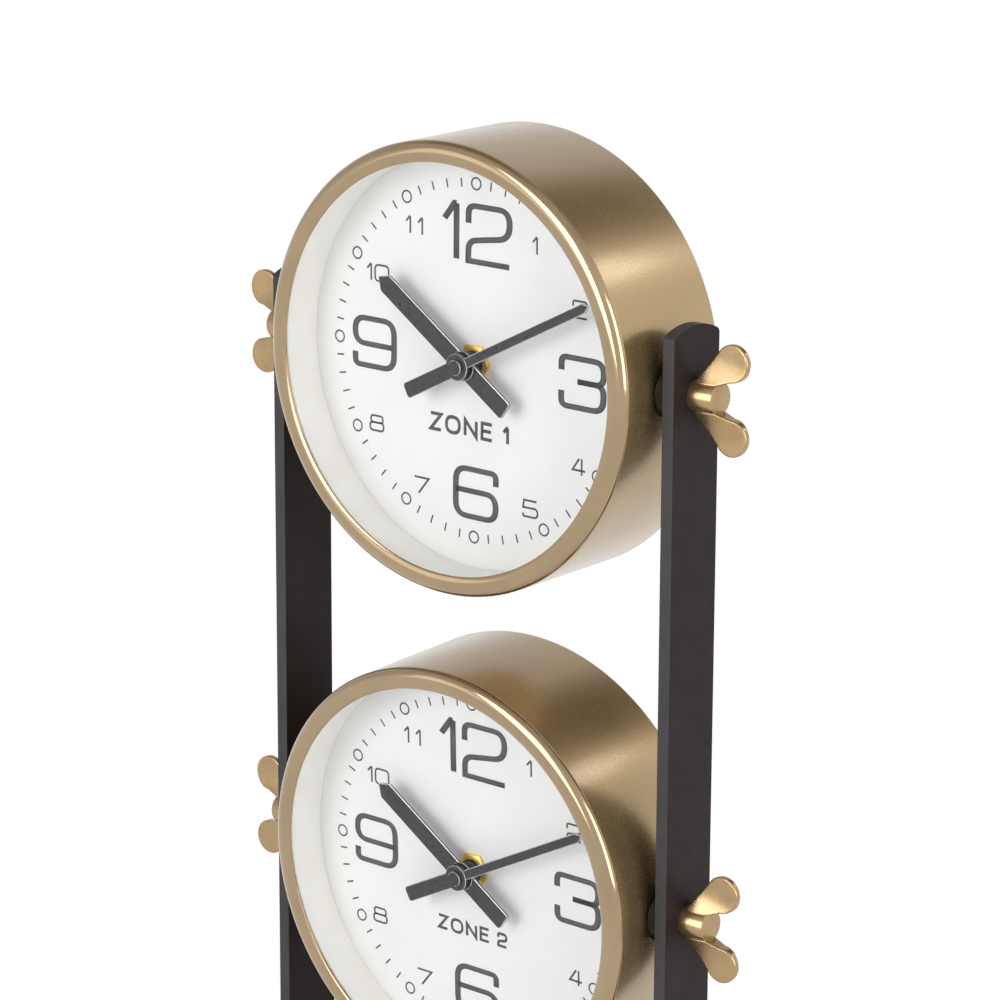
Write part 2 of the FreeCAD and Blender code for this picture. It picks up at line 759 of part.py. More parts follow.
def minute_hand(label):
    """A slim bar with a small point and a broad square tail, on a stepped hub with a closed cap."""
    body = new_body(label)
    half = S.minute_hand_half_width
    tail = S.minute_tail_half_width
    tip = S.minute_hand_tip_half_width
    corner = S.hand_tail_corner
    outline = [
        (-tail, corner - S.minute_hand_tail, corner), (corner - tail, -S.minute_hand_tail),
        (tail - corner, -S.minute_hand_tail, corner), (tail, corner - S.minute_hand_tail),
        (tail, ZERO), (half, ZERO), (tip, S.minute_hand_length - S.minute_hand_point),
        (ZERO, S.minute_hand_length), (-tip, S.minute_hand_length - S.minute_hand_point),
        (-half, ZERO), (-tail, ZERO),
    ]
    turn = -S.minute_hand_angle
    pad_forward(body, "blade", [outline], minute_hand_back_y, minute_hand_front_y, turn)
    hub_front = minute_hand_front_y - S.minute_hub_rise
    pad_forward(body, "hub", [circle(0, 0, S.minute_hub_radius)], minute_hand_back_y, hub_front)
    cap_front = minute_hand_front_y - S.cap_rise
    pad_forward(body, "cap", [circle(0, 0, S.cap_radius)], minute_hand_front_y, cap_front)
    collar = circle(0, 0, S.arbor_radius + S.collar_wall)
    collar_back = hour_hand_front_y - S.loose_clearance
    pad_forward(body, "collar", [collar], collar_back, minute_hand_back_y)
    bore = circle(0, 0, S.arbor_radius + S.running_clearance)
    cut_forward(body, "bore", [bore], collar_back, arbor_tip_y)
    return body


# Tilt pivots

def wing_screw(label):
    """A cast brass thumb screw along +X: a shank, a barrel and two wings with flat lobes."""
    body = new_body(label)
    seat = bar_outer + S.running_clearance
    end = seat + S.barrel_length
    lobe_x = seat + S.wing_reach
    lobe_z = S.wing_half_span
    lobe = S.wing_lobe_radius
    inside = S.barrel_radius - S.wing_root_drop
    wing = [
        (seat + S.barrel_edge, inside), (end - S.barrel_edge, inside),
        (lobe_x, lobe_z - lobe, lobe), (lobe_x + lobe, lobe_z, lobe),
        (lobe_x + lobe * cosine(S.wing_slant), lobe_z + lobe * sine(S.wing_slant)),
    ]
    mirrored = [(corner[0], -corner[1], *[-radius for radius in corner[2:]]) for corner in wing]
    root_half = S.wing_root_thickness / 2
    pad_forward(body, "wings", [wing, mirrored], root_half, -root_half)
    thin_wings(body, root_half, seat, lobe_x + lobe)
    tip = drum_inner - S.boss_length - S.screw_end_gap
    profile = [
        (tip, ZERO), (tip, S.screw_radius - S.screw_point), (tip + S.screw_point, S.screw_radius),
        (seat, S.screw_radius), (seat, S.barrel_radius), (end - S.barrel_edge, S.barrel_radius),
        (end, S.barrel_radius - S.barrel_edge), (end, ZERO),
    ]
    revolve(body, "screw", profile, "H_Axis")
    return body


def thin_wings(body, root_half, start, end):
    """Cut both faces of the wings to a hollow curve, from the barrel's side to the flat lobes."""
    half = S.wing_thickness / 2
    root_z = root(S.barrel_radius * S.barrel_radius - root_half * root_half)
    depth = root_half - half
    rise = S.wing_thinning_end - root_z
    hollow = (depth * depth + rise * rise) / (depth * 2)
    beyond = S.wing_half_span + S.wing_lobe_radius * 2
    quarter = [
        (root_half, root_z, -hollow), (half, S.wing_thinning_end),
        (half, beyond), (S.barrel_radius, beyond), (S.barrel_radius, root_z),
    ]
    quarters = []
    for face, way in ((1, 1), (1, -1), (-1, 1), (-1, -1)):
        side = face * way
        quarters.append([(y * face, z * way, *[bend * side for bend in bends]) for y, z, *bends in quarter])
    extrude(body, "Pocket", "thinning", "YZ_Plane", quarters, start, end)


# The clocks: every piece of a clock is drawn about its pivot, then set on its level

CLOCK_PIECES = {
    "case": case,
    "bezel": bezel,
    "lens": lens,
    "dial_wall": dial_wall,
    "dial": dial,
    "movement_housing": movement_housing,
    "movement_cover": movement_cover,
    "battery": battery,
    "coil_board": coil_board,
    "bushing_nut": bushing_nut,
    "minute_arbor": minute_arbor,
    "hour_wheel": hour_wheel,
    "motion_wheel": motion_wheel,
    "setting_knob": setting_knob,
    "hour_hand": hour_hand,
    "minute_hand": minute_hand,
}
PIECE_PLACES = {
    "battery": (ZERO, cavity_front_y + bay_half, bay_low + bay_half),
    "motion_wheel": (ZERO, ZERO, gear_distance),
    "setting_knob": (ZERO, ZERO, knob_height),
}


def placement_text(x, y, z, axis, angle):
    place = f"vector({as_size(x).text}; {as_size(y).text}; {as_size(z).text})"
    return f"placement({place}; rotation(vector({axis}); {as_size(angle).text}))"


def build_clock(level):
    height = pivot_height(level)
    lean = getattr(S, f"{level}_lean")
    on_level = placement_text(0, 0, height, "1; 0; 0", lean)
    pieces = []
    for name, make in CLOCK_PIECES.items():
        body = make(f"{level}_{name}")
        shift = placement_text(*PIECE_PLACES.get(name, (0, 0, 0)), "0; 0; 1", 0)
        body.setExpression("Placement", f"{on_level} * {shift}")
        pieces.append(body)
    for side, half_turn in (("right", 0), ("left", 180)):
        body = wing_screw(f"{level}_wing_screw_{side}")
        body.setExpression("Placement", placement_text(0, 0, height, "0; 0; 1", half_turn))
        pieces.append(body)
    return pieces


# Checks and files

def fail_if_broken(pieces):
    doc.recompute()
    for item in doc.Objects:
        if "Invalid" in item.State or "Error" in item.State:
            raise RuntimeError(f"{item.Label} did not build: {item.State}")
        if item.TypeId == "PartDesign::Pocket":
            if item.Shape.Volume >= item.BaseFeature.Shape.Volume:
                raise RuntimeError(f"{item.Label} cuts nothing")
    for body in pieces:
        if body.Shape.isNull() or not body.Shape.isValid():
            raise RuntimeError(f"{body.Label} has no valid shape")


tower = [base_plate(), rubber_feet(), foot_screws(), pivot_spacers()]
tower += [upright("right", 0), upright("left", 180)]
for clock_level in LEVELS:
    tower += build_clock(clock_level)
fail_if_broken(tower)
os.makedirs("parts", exist_ok=True)
for piece in tower:
    piece.Shape.exportStep(f"parts/{piece.Label}.step")
    print(f"{piece.Label}: {len(piece.Shape.Solids)} solid(s), {piece.Shape.Volume / 1000:.2f} cm3")
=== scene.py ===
import json
import math

import bmesh
import bpy
from mathutils import Matrix, Vector


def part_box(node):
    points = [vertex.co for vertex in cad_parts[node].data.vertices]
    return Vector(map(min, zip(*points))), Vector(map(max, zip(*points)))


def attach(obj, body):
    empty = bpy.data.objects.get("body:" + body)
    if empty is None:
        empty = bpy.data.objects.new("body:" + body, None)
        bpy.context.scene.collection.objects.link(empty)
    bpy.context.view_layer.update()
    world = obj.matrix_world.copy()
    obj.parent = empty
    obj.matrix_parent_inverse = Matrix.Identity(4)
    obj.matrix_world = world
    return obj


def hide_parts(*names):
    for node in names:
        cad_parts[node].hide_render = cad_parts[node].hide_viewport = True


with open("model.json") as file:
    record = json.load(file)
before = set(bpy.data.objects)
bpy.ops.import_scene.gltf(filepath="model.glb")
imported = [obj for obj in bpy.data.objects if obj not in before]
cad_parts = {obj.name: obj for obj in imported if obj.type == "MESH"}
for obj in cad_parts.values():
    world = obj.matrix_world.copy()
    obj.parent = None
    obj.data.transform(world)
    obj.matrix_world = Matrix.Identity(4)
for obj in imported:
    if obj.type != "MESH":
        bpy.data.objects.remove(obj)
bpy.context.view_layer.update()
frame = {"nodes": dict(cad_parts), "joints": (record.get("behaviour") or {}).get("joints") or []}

# Base plate
# A thick steel plate with rounded corners, cut from sheet, its edges broken by tumbling,
# then powder coated charcoal. It carries everything else.
base_low, base_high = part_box("base_plate")
base_corner = 0.014
base_corner_facets = 8
base_edge = 0.0009


def shown(red, green, blue):
    """A colour as it looks on a screen, turned into the light that a shader works in."""
    parts = [value / 255 for value in (red, green, blue)]
    return [part / 12.92 if part <= 0.04045 else ((part + 0.055) / 1.055) ** 2.4 for part in parts] + [1.0]


def new_finish(name, metallic=0.0):
    """A new surface finish: its material and its shader."""
    material = bpy.data.materials.new(name)
    material.use_nodes = True
    shader = material.node_tree.nodes["Principled BSDF"]
    shader.inputs["Metallic"].default_value = metallic
    return material, shader


def speckle(tree, size, detail=2.0):
    """Noise in the piece's own space with features of about this size in metres."""
    place = tree.nodes.new("ShaderNodeTexCoord")
    noise = tree.nodes.new("ShaderNodeTexNoise")
    noise.inputs["Scale"].default_value = 1 / size
    noise.inputs["Detail"].default_value = detail
    tree.links.new(place.outputs["Object"], noise.inputs["Vector"])
    return noise.outputs["Fac"]


def spread(source, low, high, start=0.3, end=0.7):
    """Map a value from one range to another; the first range is where most noise lies."""
    tree = source.id_data
    ramp = tree.nodes.new("ShaderNodeMapRange")
    ramp.inputs["From Min"].default_value = start
    ramp.inputs["From Max"].default_value = end
    ramp.inputs["To Min"].default_value = low
    ramp.inputs["To Max"].default_value = high
    tree.links.new(source, ramp.inputs["Value"])
    return ramp.outputs["Result"]


def blend_colours(factor, first, second):
    """A colour between two, by a factor from nought to one."""
    tree = factor.id_data
    mix = tree.nodes.new("ShaderNodeMix")
    mix.data_type = "RGBA"
    mix.inputs["A"].default_value = first
    mix.inputs["B"].default_value = second
    tree.links.new(factor, mix.inputs["Factor"])
    return mix.outputs["Result"]


def mottle(shader, size, first, second, detail=2.0):
    """Let the colour drift between two colours in patches of about this size."""
    patches = spread(speckle(shader.id_data, size, detail), 0, 1)
    colour = blend_colours(patches, shown(*first), shown(*second))
    shader.id_data.links.new(colour, shader.inputs["Base Color"])
    return colour


def dull(shader, size, smoothest, roughest, detail=2.0):
    """Let the roughness drift between two values in patches of about this size."""
    haze = spread(speckle(shader.id_data, size, detail), smoothest, roughest)
    shader.id_data.links.new(haze, shader.inputs["Roughness"])


def roughen(shader, size, depth, detail=2.0):
    """Bump with features of about this size and depth in metres."""
    tree = shader.id_data
    bump = tree.nodes.new("ShaderNodeBump")
    bump.inputs["Strength"].default_value = 1.0
    bump.inputs["Distance"].default_value = depth
    tree.links.new(speckle(tree, size, detail), bump.inputs["Height"])
    tree.links.new(bump.outputs["Normal"], shader.inputs["Normal"])


powder_coat, shader = new_finish("charcoal powder coat")
shader.inputs["Specular IOR Level"].default_value = 0.12
mottle(shader, 0.012, (33, 26, 26), (39, 31, 31), detail=4.0)
dull(shader, 0.004, 0.38, 0.48)
roughen(shader, 0.0005, 0.00004, detail=3.0)


def arc_points(centre, radius, start, end, steps):
    """Points on an arc in a plane, from one angle to another in degrees, both ends included."""
    points = []
    for step in range(steps + 1):
        angle = math.radians(start + (end - start) * step / steps)
        points.append((centre[0] + radius * math.cos(angle), centre[1] + radius * math.sin(angle)))
    return points


def rounded_rectangle(low, high, corner, steps):
    """Points round a rectangle with rounded corners, from its lower right corner."""
    outline = []
    for x, y, start in ((high[0] - corner, low[1] + corner, -90), (high[0] - corner, high[1] - corner, 0),
                        (low[0] + corner, high[1] - corner, 90), (low[0] + corner, low[1] + corner, 180)):
        outline += arc_points((x, y), corner, start, start + 90, steps)
    return outline


def outward(mesh, crease=None):
    """Close a mesh's seams, face it outwards and shade it smooth, except over a crease in degrees."""
    shell = bmesh.new()
    shell.from_mesh(mesh)
    bmesh.ops.remove_doubles(shell, verts=shell.verts, dist=1e-7)
    if crease:
        bmesh.ops.dissolve_degenerate(shell, edges=shell.edges, dist=1e-8)
    bmesh.ops.recalc_face_normals(shell, faces=shell.faces)
    shell.to_mesh(mesh)
    shell.free()
    mesh.shade_smooth()
    if crease:
        mesh.set_sharp_from_angle(angle=math.radians(crease))
    return mesh


def prism(name, outline, start, end, spot):
    """A flat outline given thickness; spot turns (first, second, depth) into a place."""
    count = len(outline)
    corners = [spot(u, v, start) for u, v in outline] + [spot(u, v, end) for u, v in outline]
    faces = [list(range(count))[::-1], list(range(count, 2 * count))]
    for step in range(count):
        following = (step + 1) % count
        faces.append([step, following, count + following, count + step])
    mesh = bpy.data.meshes.new(name)
    mesh.from_pydata(corners, [], faces)
    return outward(mesh)


def put_in_scene(name, mesh, *finishes):
    """An object for a mesh, with one finish or with a second one for its cut edges."""
    for finish in finishes:
        if finish.name not in mesh.materials:
            mesh.materials.append(finish)
    piece = bpy.data.objects.new(name, mesh)
    bpy.context.scene.collection.objects.link(piece)
    return piece


def break_edges(piece, width):
    """Round the piece's sharp edges, in its last finish, and keep its flats flat."""
    bevel = piece.modifiers.new("broken edges", "BEVEL")
    bevel.width = width
    bevel.segments = 3
    bevel.limit_method = "ANGLE"
    bevel.angle_limit = math.radians(35)
    bevel.harden_normals = True
    bevel.material = len(piece.data.materials) - 1
    return piece


base_outline = rounded_rectangle(base_low, base_high, base_corner, base_corner_facets)
base_mesh = prism("base slab", base_outline, base_low.z, base_high.z, lambda u, v, w: (u, v, w))
base_slab = break_edges(put_in_scene("base_slab", base_mesh, powder_coat), base_edge)
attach(base_slab, "stand")
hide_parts("base_plate")

# Rubber feet
# Four moulded rubber discs with a rounded lower rim, glued under the corners of the plate. They
# keep it from sliding and lift it a little off the table.
feet_low, feet_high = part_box("rubber_feet")
foot_radius = 0.009
foot_rim = 0.0012
foot_facets = 48
turned_crease = 32
rubber, shader = new_finish("foot rubber")
mottle(shader, 0.004, (27, 26, 26), (34, 33, 33))
dull(shader, 0.003, 0.68, 0.85)
roughen(shader, 0.0004, 0.00003)


def turned(name, profile, facets, axis, bare_rows=()):
    """A profile of (distance from the axis, place along it), closed on itself, turned about an axis.

    A point that changes on its way round is a function of the angle. Bare rows of faces take the
    piece's second finish.
    """
    spots = {"X": lambda r, a, t: (a, r * math.cos(t), r * math.sin(t)),
             "Y": lambda r, a, t: (r * math.sin(t), a, r * math.cos(t)),
             "Z": lambda r, a, t: (r * math.cos(t), r * math.sin(t), a)}
    corners = []
    faces = []
    count = len(profile)
    for step in range(facets):
        angle = math.tau * step / facets
        for point in profile:
            radius, along = point(angle) if callable(point) else point
            corners.append(spots[axis](radius, along, angle))
    for step in range(facets):
        here = step * count
        there = ((step + 1) % facets) * count
        for row in range(count):
            following = (row + 1) % count
            faces.append([here + row, here + following, there + following, there + row])
    mesh = bpy.data.meshes.new(name)
    mesh.from_pydata(corners, [], faces)
    for face in mesh.polygons:
        face.material_index = 1 if face.index % count in bare_rows else 0
    return outward(mesh, turned_crease)


def made_real(layout):
    """The plain mesh that a node tree gives; the layout object goes."""
    bpy.context.view_layer.update()
    mesh = bpy.data.meshes.new_from_object(layout.evaluated_get(bpy.context.evaluated_depsgraph_get()))
    bpy.data.objects.remove(layout)
    return mesh


def copies_on_points(name, template, points, finish):
    """One mesh of a small piece repeated at (place, turn) points, laid out by a node tree."""
    tree = bpy.data.node_groups.new(name, "GeometryNodeTree")
    tree.interface.new_socket("Points", in_out="INPUT", socket_type="NodeSocketGeometry")
    piece_input = tree.interface.new_socket("Piece", in_out="INPUT", socket_type="NodeSocketObject")
    finish_input = tree.interface.new_socket("Finish", in_out="INPUT", socket_type="NodeSocketMaterial")
    tree.interface.new_socket("Pieces", in_out="OUTPUT", socket_type="NodeSocketGeometry")
    given = tree.nodes.new("NodeGroupInput")
    result = tree.nodes.new("NodeGroupOutput")
    info = tree.nodes.new("GeometryNodeObjectInfo")
    lay = tree.nodes.new("GeometryNodeInstanceOnPoints")
    turn = tree.nodes.new("GeometryNodeInputNamedAttribute")
    turn.data_type = "FLOAT_VECTOR"
    turn.inputs["Name"].default_value = "turn"
    real = tree.nodes.new("GeometryNodeRealizeInstances")
    cover = tree.nodes.new("GeometryNodeSetMaterial")
    tree.links.new(given.outputs["Points"], lay.inputs["Points"])
    tree.links.new(given.outputs["Piece"], info.inputs["Object"])
    tree.links.new(info.outputs["Geometry"], lay.inputs["Instance"])
    tree.links.new(turn.outputs["Attribute"], lay.inputs["Rotation"])
    tree.links.new(lay.outputs["Instances"], real.inputs["Geometry"])
    tree.links.new(real.outputs["Geometry"], cover.inputs["Geometry"])
    tree.links.new(given.outputs["Finish"], cover.inputs["Material"])
    tree.links.new(cover.outputs["Geometry"], result.inputs["Pieces"])
    pattern = put_in_scene(name + " pattern", template, finish)
    spots = bpy.data.meshes.new(name + " spots")
    spots.from_pydata([place for place, angles in points], [], [])
    turns = spots.attributes.new("turn", "FLOAT_VECTOR", "POINT")
    for entry, (place, angles) in zip(turns.data, points):
        entry.vector = angles
    layout = put_in_scene(name + " layout", spots, finish)
    nodes = layout.modifiers.new("copies", "NODES")
    nodes.node_group = tree
    nodes[piece_input.identifier] = pattern
    nodes[finish_input.identifier] = finish
    mesh = made_real(layout)
    bpy.data.objects.remove(pattern)
    return mesh


foot_height = feet_high.z - feet_low.z
foot_profile = [(0, 0)] + arc_points((foot_radius - foot_rim, foot_rim), foot_rim, -90, 0, 5)
foot_profile += [(foot_radius, foot_height), (0, foot_height)]
foot_mesh = turned("foot", foot_profile, foot_facets, "Z")
foot_spots = [((x, y, feet_low.z), (0, 0, 0))
              for x in (feet_low.x + foot_radius, feet_high.x - foot_radius)
              for y in (feet_low.y + foot_radius, feet_high.y - foot_radius)]
feet = put_in_scene("rubber_foot_set", copies_on_points("feet", foot_mesh, foot_spots, rubber), rubber)
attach(feet, "stand")
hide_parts("rubber_feet")

# Uprights
# Two flat steel bars with rounded tops, bent in at the bottom into tabs that lie on the plate.
# Edges are broken all round; the cut edges and their roundings carry a lighter copy of the powder coat, a
# painted highlight for the light they catch.
spacers_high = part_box("pivot_spacers")[1]
bar_edge = 0.0006
bar_crown_radius = 0.025
bar_crown_corner = 0.002
bar_bend = 0.003
bar_bend_facets = 8
bar_columns = 36
# Painted highlight: a lighter grey coat for the cut edges, standing in for the light that falls on them.
painted_highlight_coat, shader = new_finish("charcoal powder coat painted lighter on cut edges")
shader.inputs["Specular IOR Level"].default_value = 0.3
mottle(shader, 0.009, (49, 47, 49), (57, 54, 56), detail=4.0)
dull(shader, 0.003, 0.38, 0.5)
roughen(shader, 0.0005, 0.00004, detail=3.0)


def crown_height(y, half):
    """How far the bar's top lies above the middle of its crown's circle, with softened corners."""
    reach = half - bar_crown_corner
    rise = math.sqrt((bar_crown_radius - bar_crown_corner) ** 2 - reach ** 2)
    if abs(y) < reach * bar_crown_radius / (bar_crown_radius - bar_crown_corner):
        return math.sqrt(bar_crown_radius ** 2 - y * y)
    return rise + math.sqrt(max(bar_crown_corner ** 2 - (abs(y) - reach) ** 2, 0))


def bent_bar(side):
    """Rows of points up the bar's two faces (tab, bend, shank and rounded top), and its cut edges."""
    low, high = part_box(f"upright_{side}")
    half = high.y
    outer = max(abs(low.x), abs(high.x))
    tab_end = min(abs(low.x), abs(high.x))
    thick = outer - spacers_high.x
    bend = (outer - thick - bar_bend, low.z + thick + bar_bend)
    inner_path = [(tab_end, low.z + thick)] + arc_points(bend, bar_bend, -90, 0, bar_bend_facets)
    outer_path = [(tab_end, low.z)] + arc_points(bend, bar_bend + thick, -90, 0, bar_bend_facets)
    rows = len(inner_path) + 1
    width = bar_columns + 1
    corners = []
    for path, top_x in ((inner_path, outer - thick), (outer_path, outer)):
        for row in range(rows):
            for column in range(width):
                y = -half * math.cos(math.pi * column / bar_columns)
                top = (top_x, high.z - bar_crown_radius + crown_height(y, half))
                x, z = path[row] if row < rows - 1 else top
                corners.append((x, y, z))
    faces = []
    face_size = rows * width
    for shell in (0, face_size):
        for row in range(rows - 1):
            for column in range(bar_columns):
                here = shell + row * width + column
                faces.append([here, here + 1, here + width + 1, here + width])
    border = list(range(bar_columns))
    border += [row * width + bar_columns for row in range(rows - 1)]
    border += [(rows - 1) * width + column for column in range(bar_columns, 0, -1)]
    border += [row * width for row in range(rows - 1, 0, -1)]
    for place, here in enumerate(border):
        there = border[(place + 1) % len(border)]
        faces.append([here, there, face_size + there, face_size + here])
    mesh = bpy.data.meshes.new(f"bar {side}")
    mesh.from_pydata(corners, [], faces)
    # The cut edges take the lighter coat, a painted highlight.
    for face in mesh.polygons[len(faces) - len(border):]:
        face.material_index = 1
    if side == "left":
        mesh.transform(Matrix.Rotation(math.pi, 4, "Z"))
    return outward(mesh)


for side in ("left", "right"):
    bar = break_edges(put_in_scene(f"bar_{side}", bent_bar(side), powder_coat, painted_highlight_coat), bar_edge)
    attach(bar, "stand")
    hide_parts(f"upright_{side}")

# Foot screws
# Four blackened steel screws hold the tabs to the plate. They have forged button heads with a
# hexagon socket.
screws_low, screws_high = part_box("foot_screws")
head_radius = 0.0046
head_height = 0.0027
head_dome = [(1.0, 0.35), (0.9, 0.68), (0.7, 0.92), (0.56, 1.0)]
head_facets = 48
head_twist = 0.4
socket_flat = 0.0016
socket_depth = 0.0015
screw_spacing = 0.012
blackened, shader = new_finish("blackened screw steel", metallic=1.0)
mottle(shader, 0.002, (52, 51, 52), (74, 72, 71))
dull(shader, 0.0012, 0.34, 0.5)


def hexagon(flat, angle):
    """Distance from the middle to the side of a hexagon, in this direction."""
    step = math.pi / 3
    return flat / math.cos((angle % step) - step / 2)


head_profile = [(0, 0), (head_radius, 0)]
head_profile += [(head_radius * across, head_height * up) for across, up in head_dome]
head_profile += [lambda angle: (hexagon(socket_flat, angle), head_height),
                 lambda angle: (hexagon(socket_flat, angle), head_height - socket_depth),
                 (0, head_height - socket_depth)]
head_mesh = turned("button head", head_profile, head_facets, "Z")
head_base = screws_high.z - head_height
head_spots = [((x, y, head_base), (0, 0, head_twist * x / screws_high.x))
              for x in (screws_low.x + head_radius, screws_high.x - head_radius)
              for y in (-screw_spacing / 2, screw_spacing / 2)]
heads = put_in_scene("button_heads", copies_on_points("heads", head_mesh, head_spots, blackened), blackened)
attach(heads, "stand")
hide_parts("foot_screws")

# Pivot spacers
# Six black moulded washers with rounded, glossy rims keep the drums clear of the bars. The wing
# screws' shanks run through them.
drum_low, drum_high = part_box("lower_case")
spacer_radius = spacers_high.y
spacer_hole = 0.0034
spacer_rim = 0.0014
spacer_gap = 0.0003
spacer_facets = 64
levels = ("lower", "middle", "upper")
joints = {joint["name"]: joint for joint in frame["joints"]}
gloss_black, shader = new_finish("gloss black plastic")
shader.inputs["Specular IOR Level"].default_value = 0.5
mottle(shader, 0.006, (13, 13, 14), (19, 18, 19))
dull(shader, 0.002, 0.16, 0.24)
spacer_face = drum_high.x + spacer_gap
spacer_back = spacers_high.x
spacer_profile = [(spacer_hole, spacer_face)]
spacer_profile += arc_points((spacer_radius - spacer_rim, spacer_face + spacer_rim), spacer_rim, -90, 0, 6)
spacer_profile += [(spacer_radius, spacer_back), (spacer_hole, spacer_back)]
spacer_mesh = turned("spacer", spacer_profile, spacer_facets, "X")
spacer_spots = [((0, 0, joints[f"{level}_tilt"]["pos_m"][2]), (0, 0, turn))
                for level in levels for turn in (0, math.pi)]
spacer_set_mesh = copies_on_points("spacers", spacer_mesh, spacer_spots, gloss_black)
spacers = put_in_scene("spacer_set", spacer_set_mesh, gloss_black)
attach(spacers, "stand")
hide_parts("pivot_spacers")

# Drum cases
# Each clock's case is a steel cup, drawn and spun to shape, with a window in its back for the
# movement, a ledge for the dial and a welded boss on either side. It is plated satin gold.
drum_pivot = Vector(joints["lower_tilt"]["pos_m"])
drum_radius = drum_high.x
drum_rim = drum_low.y
drum_back = drum_high.y
drum_wall = 0.0012
drum_back_round = 0.0010
drum_inside_round = 0.002
drum_edge = 0.0002
window_half = 0.038
window_corner = 0.008
window_lip = 0.0003
ledge_width = 0.0028
ledge_depth = 0.0010
boss_radius = 0.0046
boss_bore = 0.0031
boss_length = 0.0084
boss_edge = 0.0003
boss_facets = 40
drum_facets = 240
satin_gold, shader = new_finish("satin gold plate", metallic=0.82)
mottle(shader, 0.03, (170, 143, 100), (177, 150, 107), detail=3.0)
dull(shader, 0.0007, 0.26, 0.32)
shader.inputs["Coat Weight"].default_value = 0.7
shader.inputs["Coat Roughness"].default_value = 0.15


def seat(level):
    """Where a clock sits: its pivot's place and its lean about the pivot."""
    across = Vector(joints[f"{level}_minute_turn"]["axis"])
    lean = math.atan2(across.z, across.y)
    return Matrix.Translation(Vector(joints[f"{level}_tilt"]["pos_m"])) @ Matrix.Rotation(lean, 4, "X")


def in_clock(piece):
    """A clock piece's box about its own pivot, read from the clock that stands upright."""
    low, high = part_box(f"lower_{piece}")
    return low - drum_pivot, high - drum_pivot


def set_in_clocks(mesh, name, body, finish, node=None, edge=None, bare=None):
    """Put one copy of a piece into each clock."""
    for level in levels:
        fitted = mesh.copy()
        fitted.transform(seat(level))
        piece = put_in_scene(f"{level}_{name}", fitted, *([finish, bare] if bare else [finish]))
        if edge:
            break_edges(piece, edge)
        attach(piece, f"{level}_{body}")
        if node:
            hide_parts(f"{level}_{node}")


def window_edge(angle):
    """Distance from the middle to the rim of the service window, a square with rounded corners."""
    across, up = abs(math.sin(angle)), abs(math.cos(angle))
    straight = window_half / max(across, up)
    if min(across, up) * straight <= window_half - window_corner:
        return straight
    corner = window_half - window_corner
    ahead = corner * (across + up)
    return ahead + math.sqrt(ahead ** 2 - 2 * corner ** 2 + window_corner ** 2)


dial_low, dial_high = in_clock("dial")
drum_inner = drum_radius - drum_wall
back_inside = drum_back - drum_wall
ledge_inner = drum_inner - ledge_width
ledge_back = dial_high.y + ledge_depth
drum_turn = (drum_radius - drum_back_round, drum_back - drum_back_round)
drum_profile = [(drum_inner, drum_rim), (drum_radius - drum_edge, drum_rim)]
drum_profile += [(drum_radius, drum_rim + drum_edge), (drum_radius, drum_back - drum_back_round)]
drum_profile += arc_points(drum_turn, drum_back_round, 15, 90, 5)
drum_profile += [lambda angle: (window_edge(angle) + window_lip, drum_back),
                 lambda angle: (window_edge(angle), drum_back - window_lip),
                 lambda angle: (window_edge(angle), back_inside)]
drum_profile += [(drum_inner - drum_inside_round, back_inside)]
drum_profile += [(drum_inner, back_inside - drum_inside_round)]
drum_profile += [(drum_inner, ledge_back), (ledge_inner, ledge_back)]
drum_profile += [(ledge_inner, dial_high.y), (drum_inner, dial_high.y)]
drum_mesh = turned("drum", drum_profile, drum_facets, "Y")
set_in_clocks(drum_mesh, "drum_shell", "drum", satin_gold, node="case")
boss_end = drum_inner - boss_length
boss_profile = [(boss_bore, boss_end), (boss_radius - boss_edge, boss_end)]
boss_profile += [(boss_radius, boss_end + boss_edge), (boss_radius, drum_inner), (boss_bore, drum_inner)]
for side, turn in (("right", 0), ("left", math.pi)):
    boss_mesh = turned("boss", boss_profile, boss_facets, "X")
    boss_mesh.transform(Matrix.Rotation(turn, 4, "Z"))
    set_in_clocks(boss_mesh, f"boss_{side}", "drum", satin_gold)

# Bezels
# A spun ring with a softly domed front, polished a little brighter than the case. Its hidden
# spigot presses into the case, and a fine line shows where the two meet.
bezel_low, bezel_high = in_clock("bezel")
lens_low, lens_high = in_clock("lens")
bezel_opening = 0.0685
bezel_crest = 0.0719
bezel_dome_facets = 14
spigot_wall = 0.0014
spigot_play = 0.0001
joint_line = 0.00012
lip_edge = 0.00015
polished_gold, shader = new_finish("polished gold plate", metallic=0.92)
mottle(shader, 0.02, (160, 136, 102), (168, 144, 110), detail=3.0)
dull(shader, 0.0008, 0.10, 0.14)
shader.inputs["Coat Weight"].default_value = 1.0
shader.inputs["Coat Roughness"].default_value = 0.05
bezel_front = bezel_low.y
bezel_shoulder = drum_rim - joint_line
bezel_lip = lens_low.y - lip_edge
spigot_outer = drum_inner - spigot_play
spigot_inner = spigot_outer - spigot_wall
bezel_profile = [(spigot_outer, bezel_high.y), (spigot_outer, drum_rim)]
bezel_profile += [(drum_radius - joint_line, drum_rim), (drum_radius, bezel_shoulder)]
for outwards, forwards in arc_points((0, 0), 1, 0, -90, bezel_dome_facets)[1:]:
    bezel_profile.append((bezel_crest + (drum_radius - bezel_crest) * outwards,
                          bezel_shoulder + (bezel_shoulder - bezel_front) * forwards))
for outwards, forwards in arc_points((0, 0), 1, -90, -180, bezel_dome_facets)[1:]:
    bezel_profile.append((bezel_crest + (bezel_crest - bezel_opening) * outwards,
                          bezel_lip + (bezel_lip - bezel_front) * forwards))
bezel_profile += [(bezel_opening, lens_low.y), (spigot_inner, lens_low.y), (spigot_inner, bezel_high.y)]
bezel_mesh = turned("bezel", bezel_profile, drum_facets, "Y")
set_in_clocks(bezel_mesh, "bezel_ring", "drum", polished_gold, node="bezel")

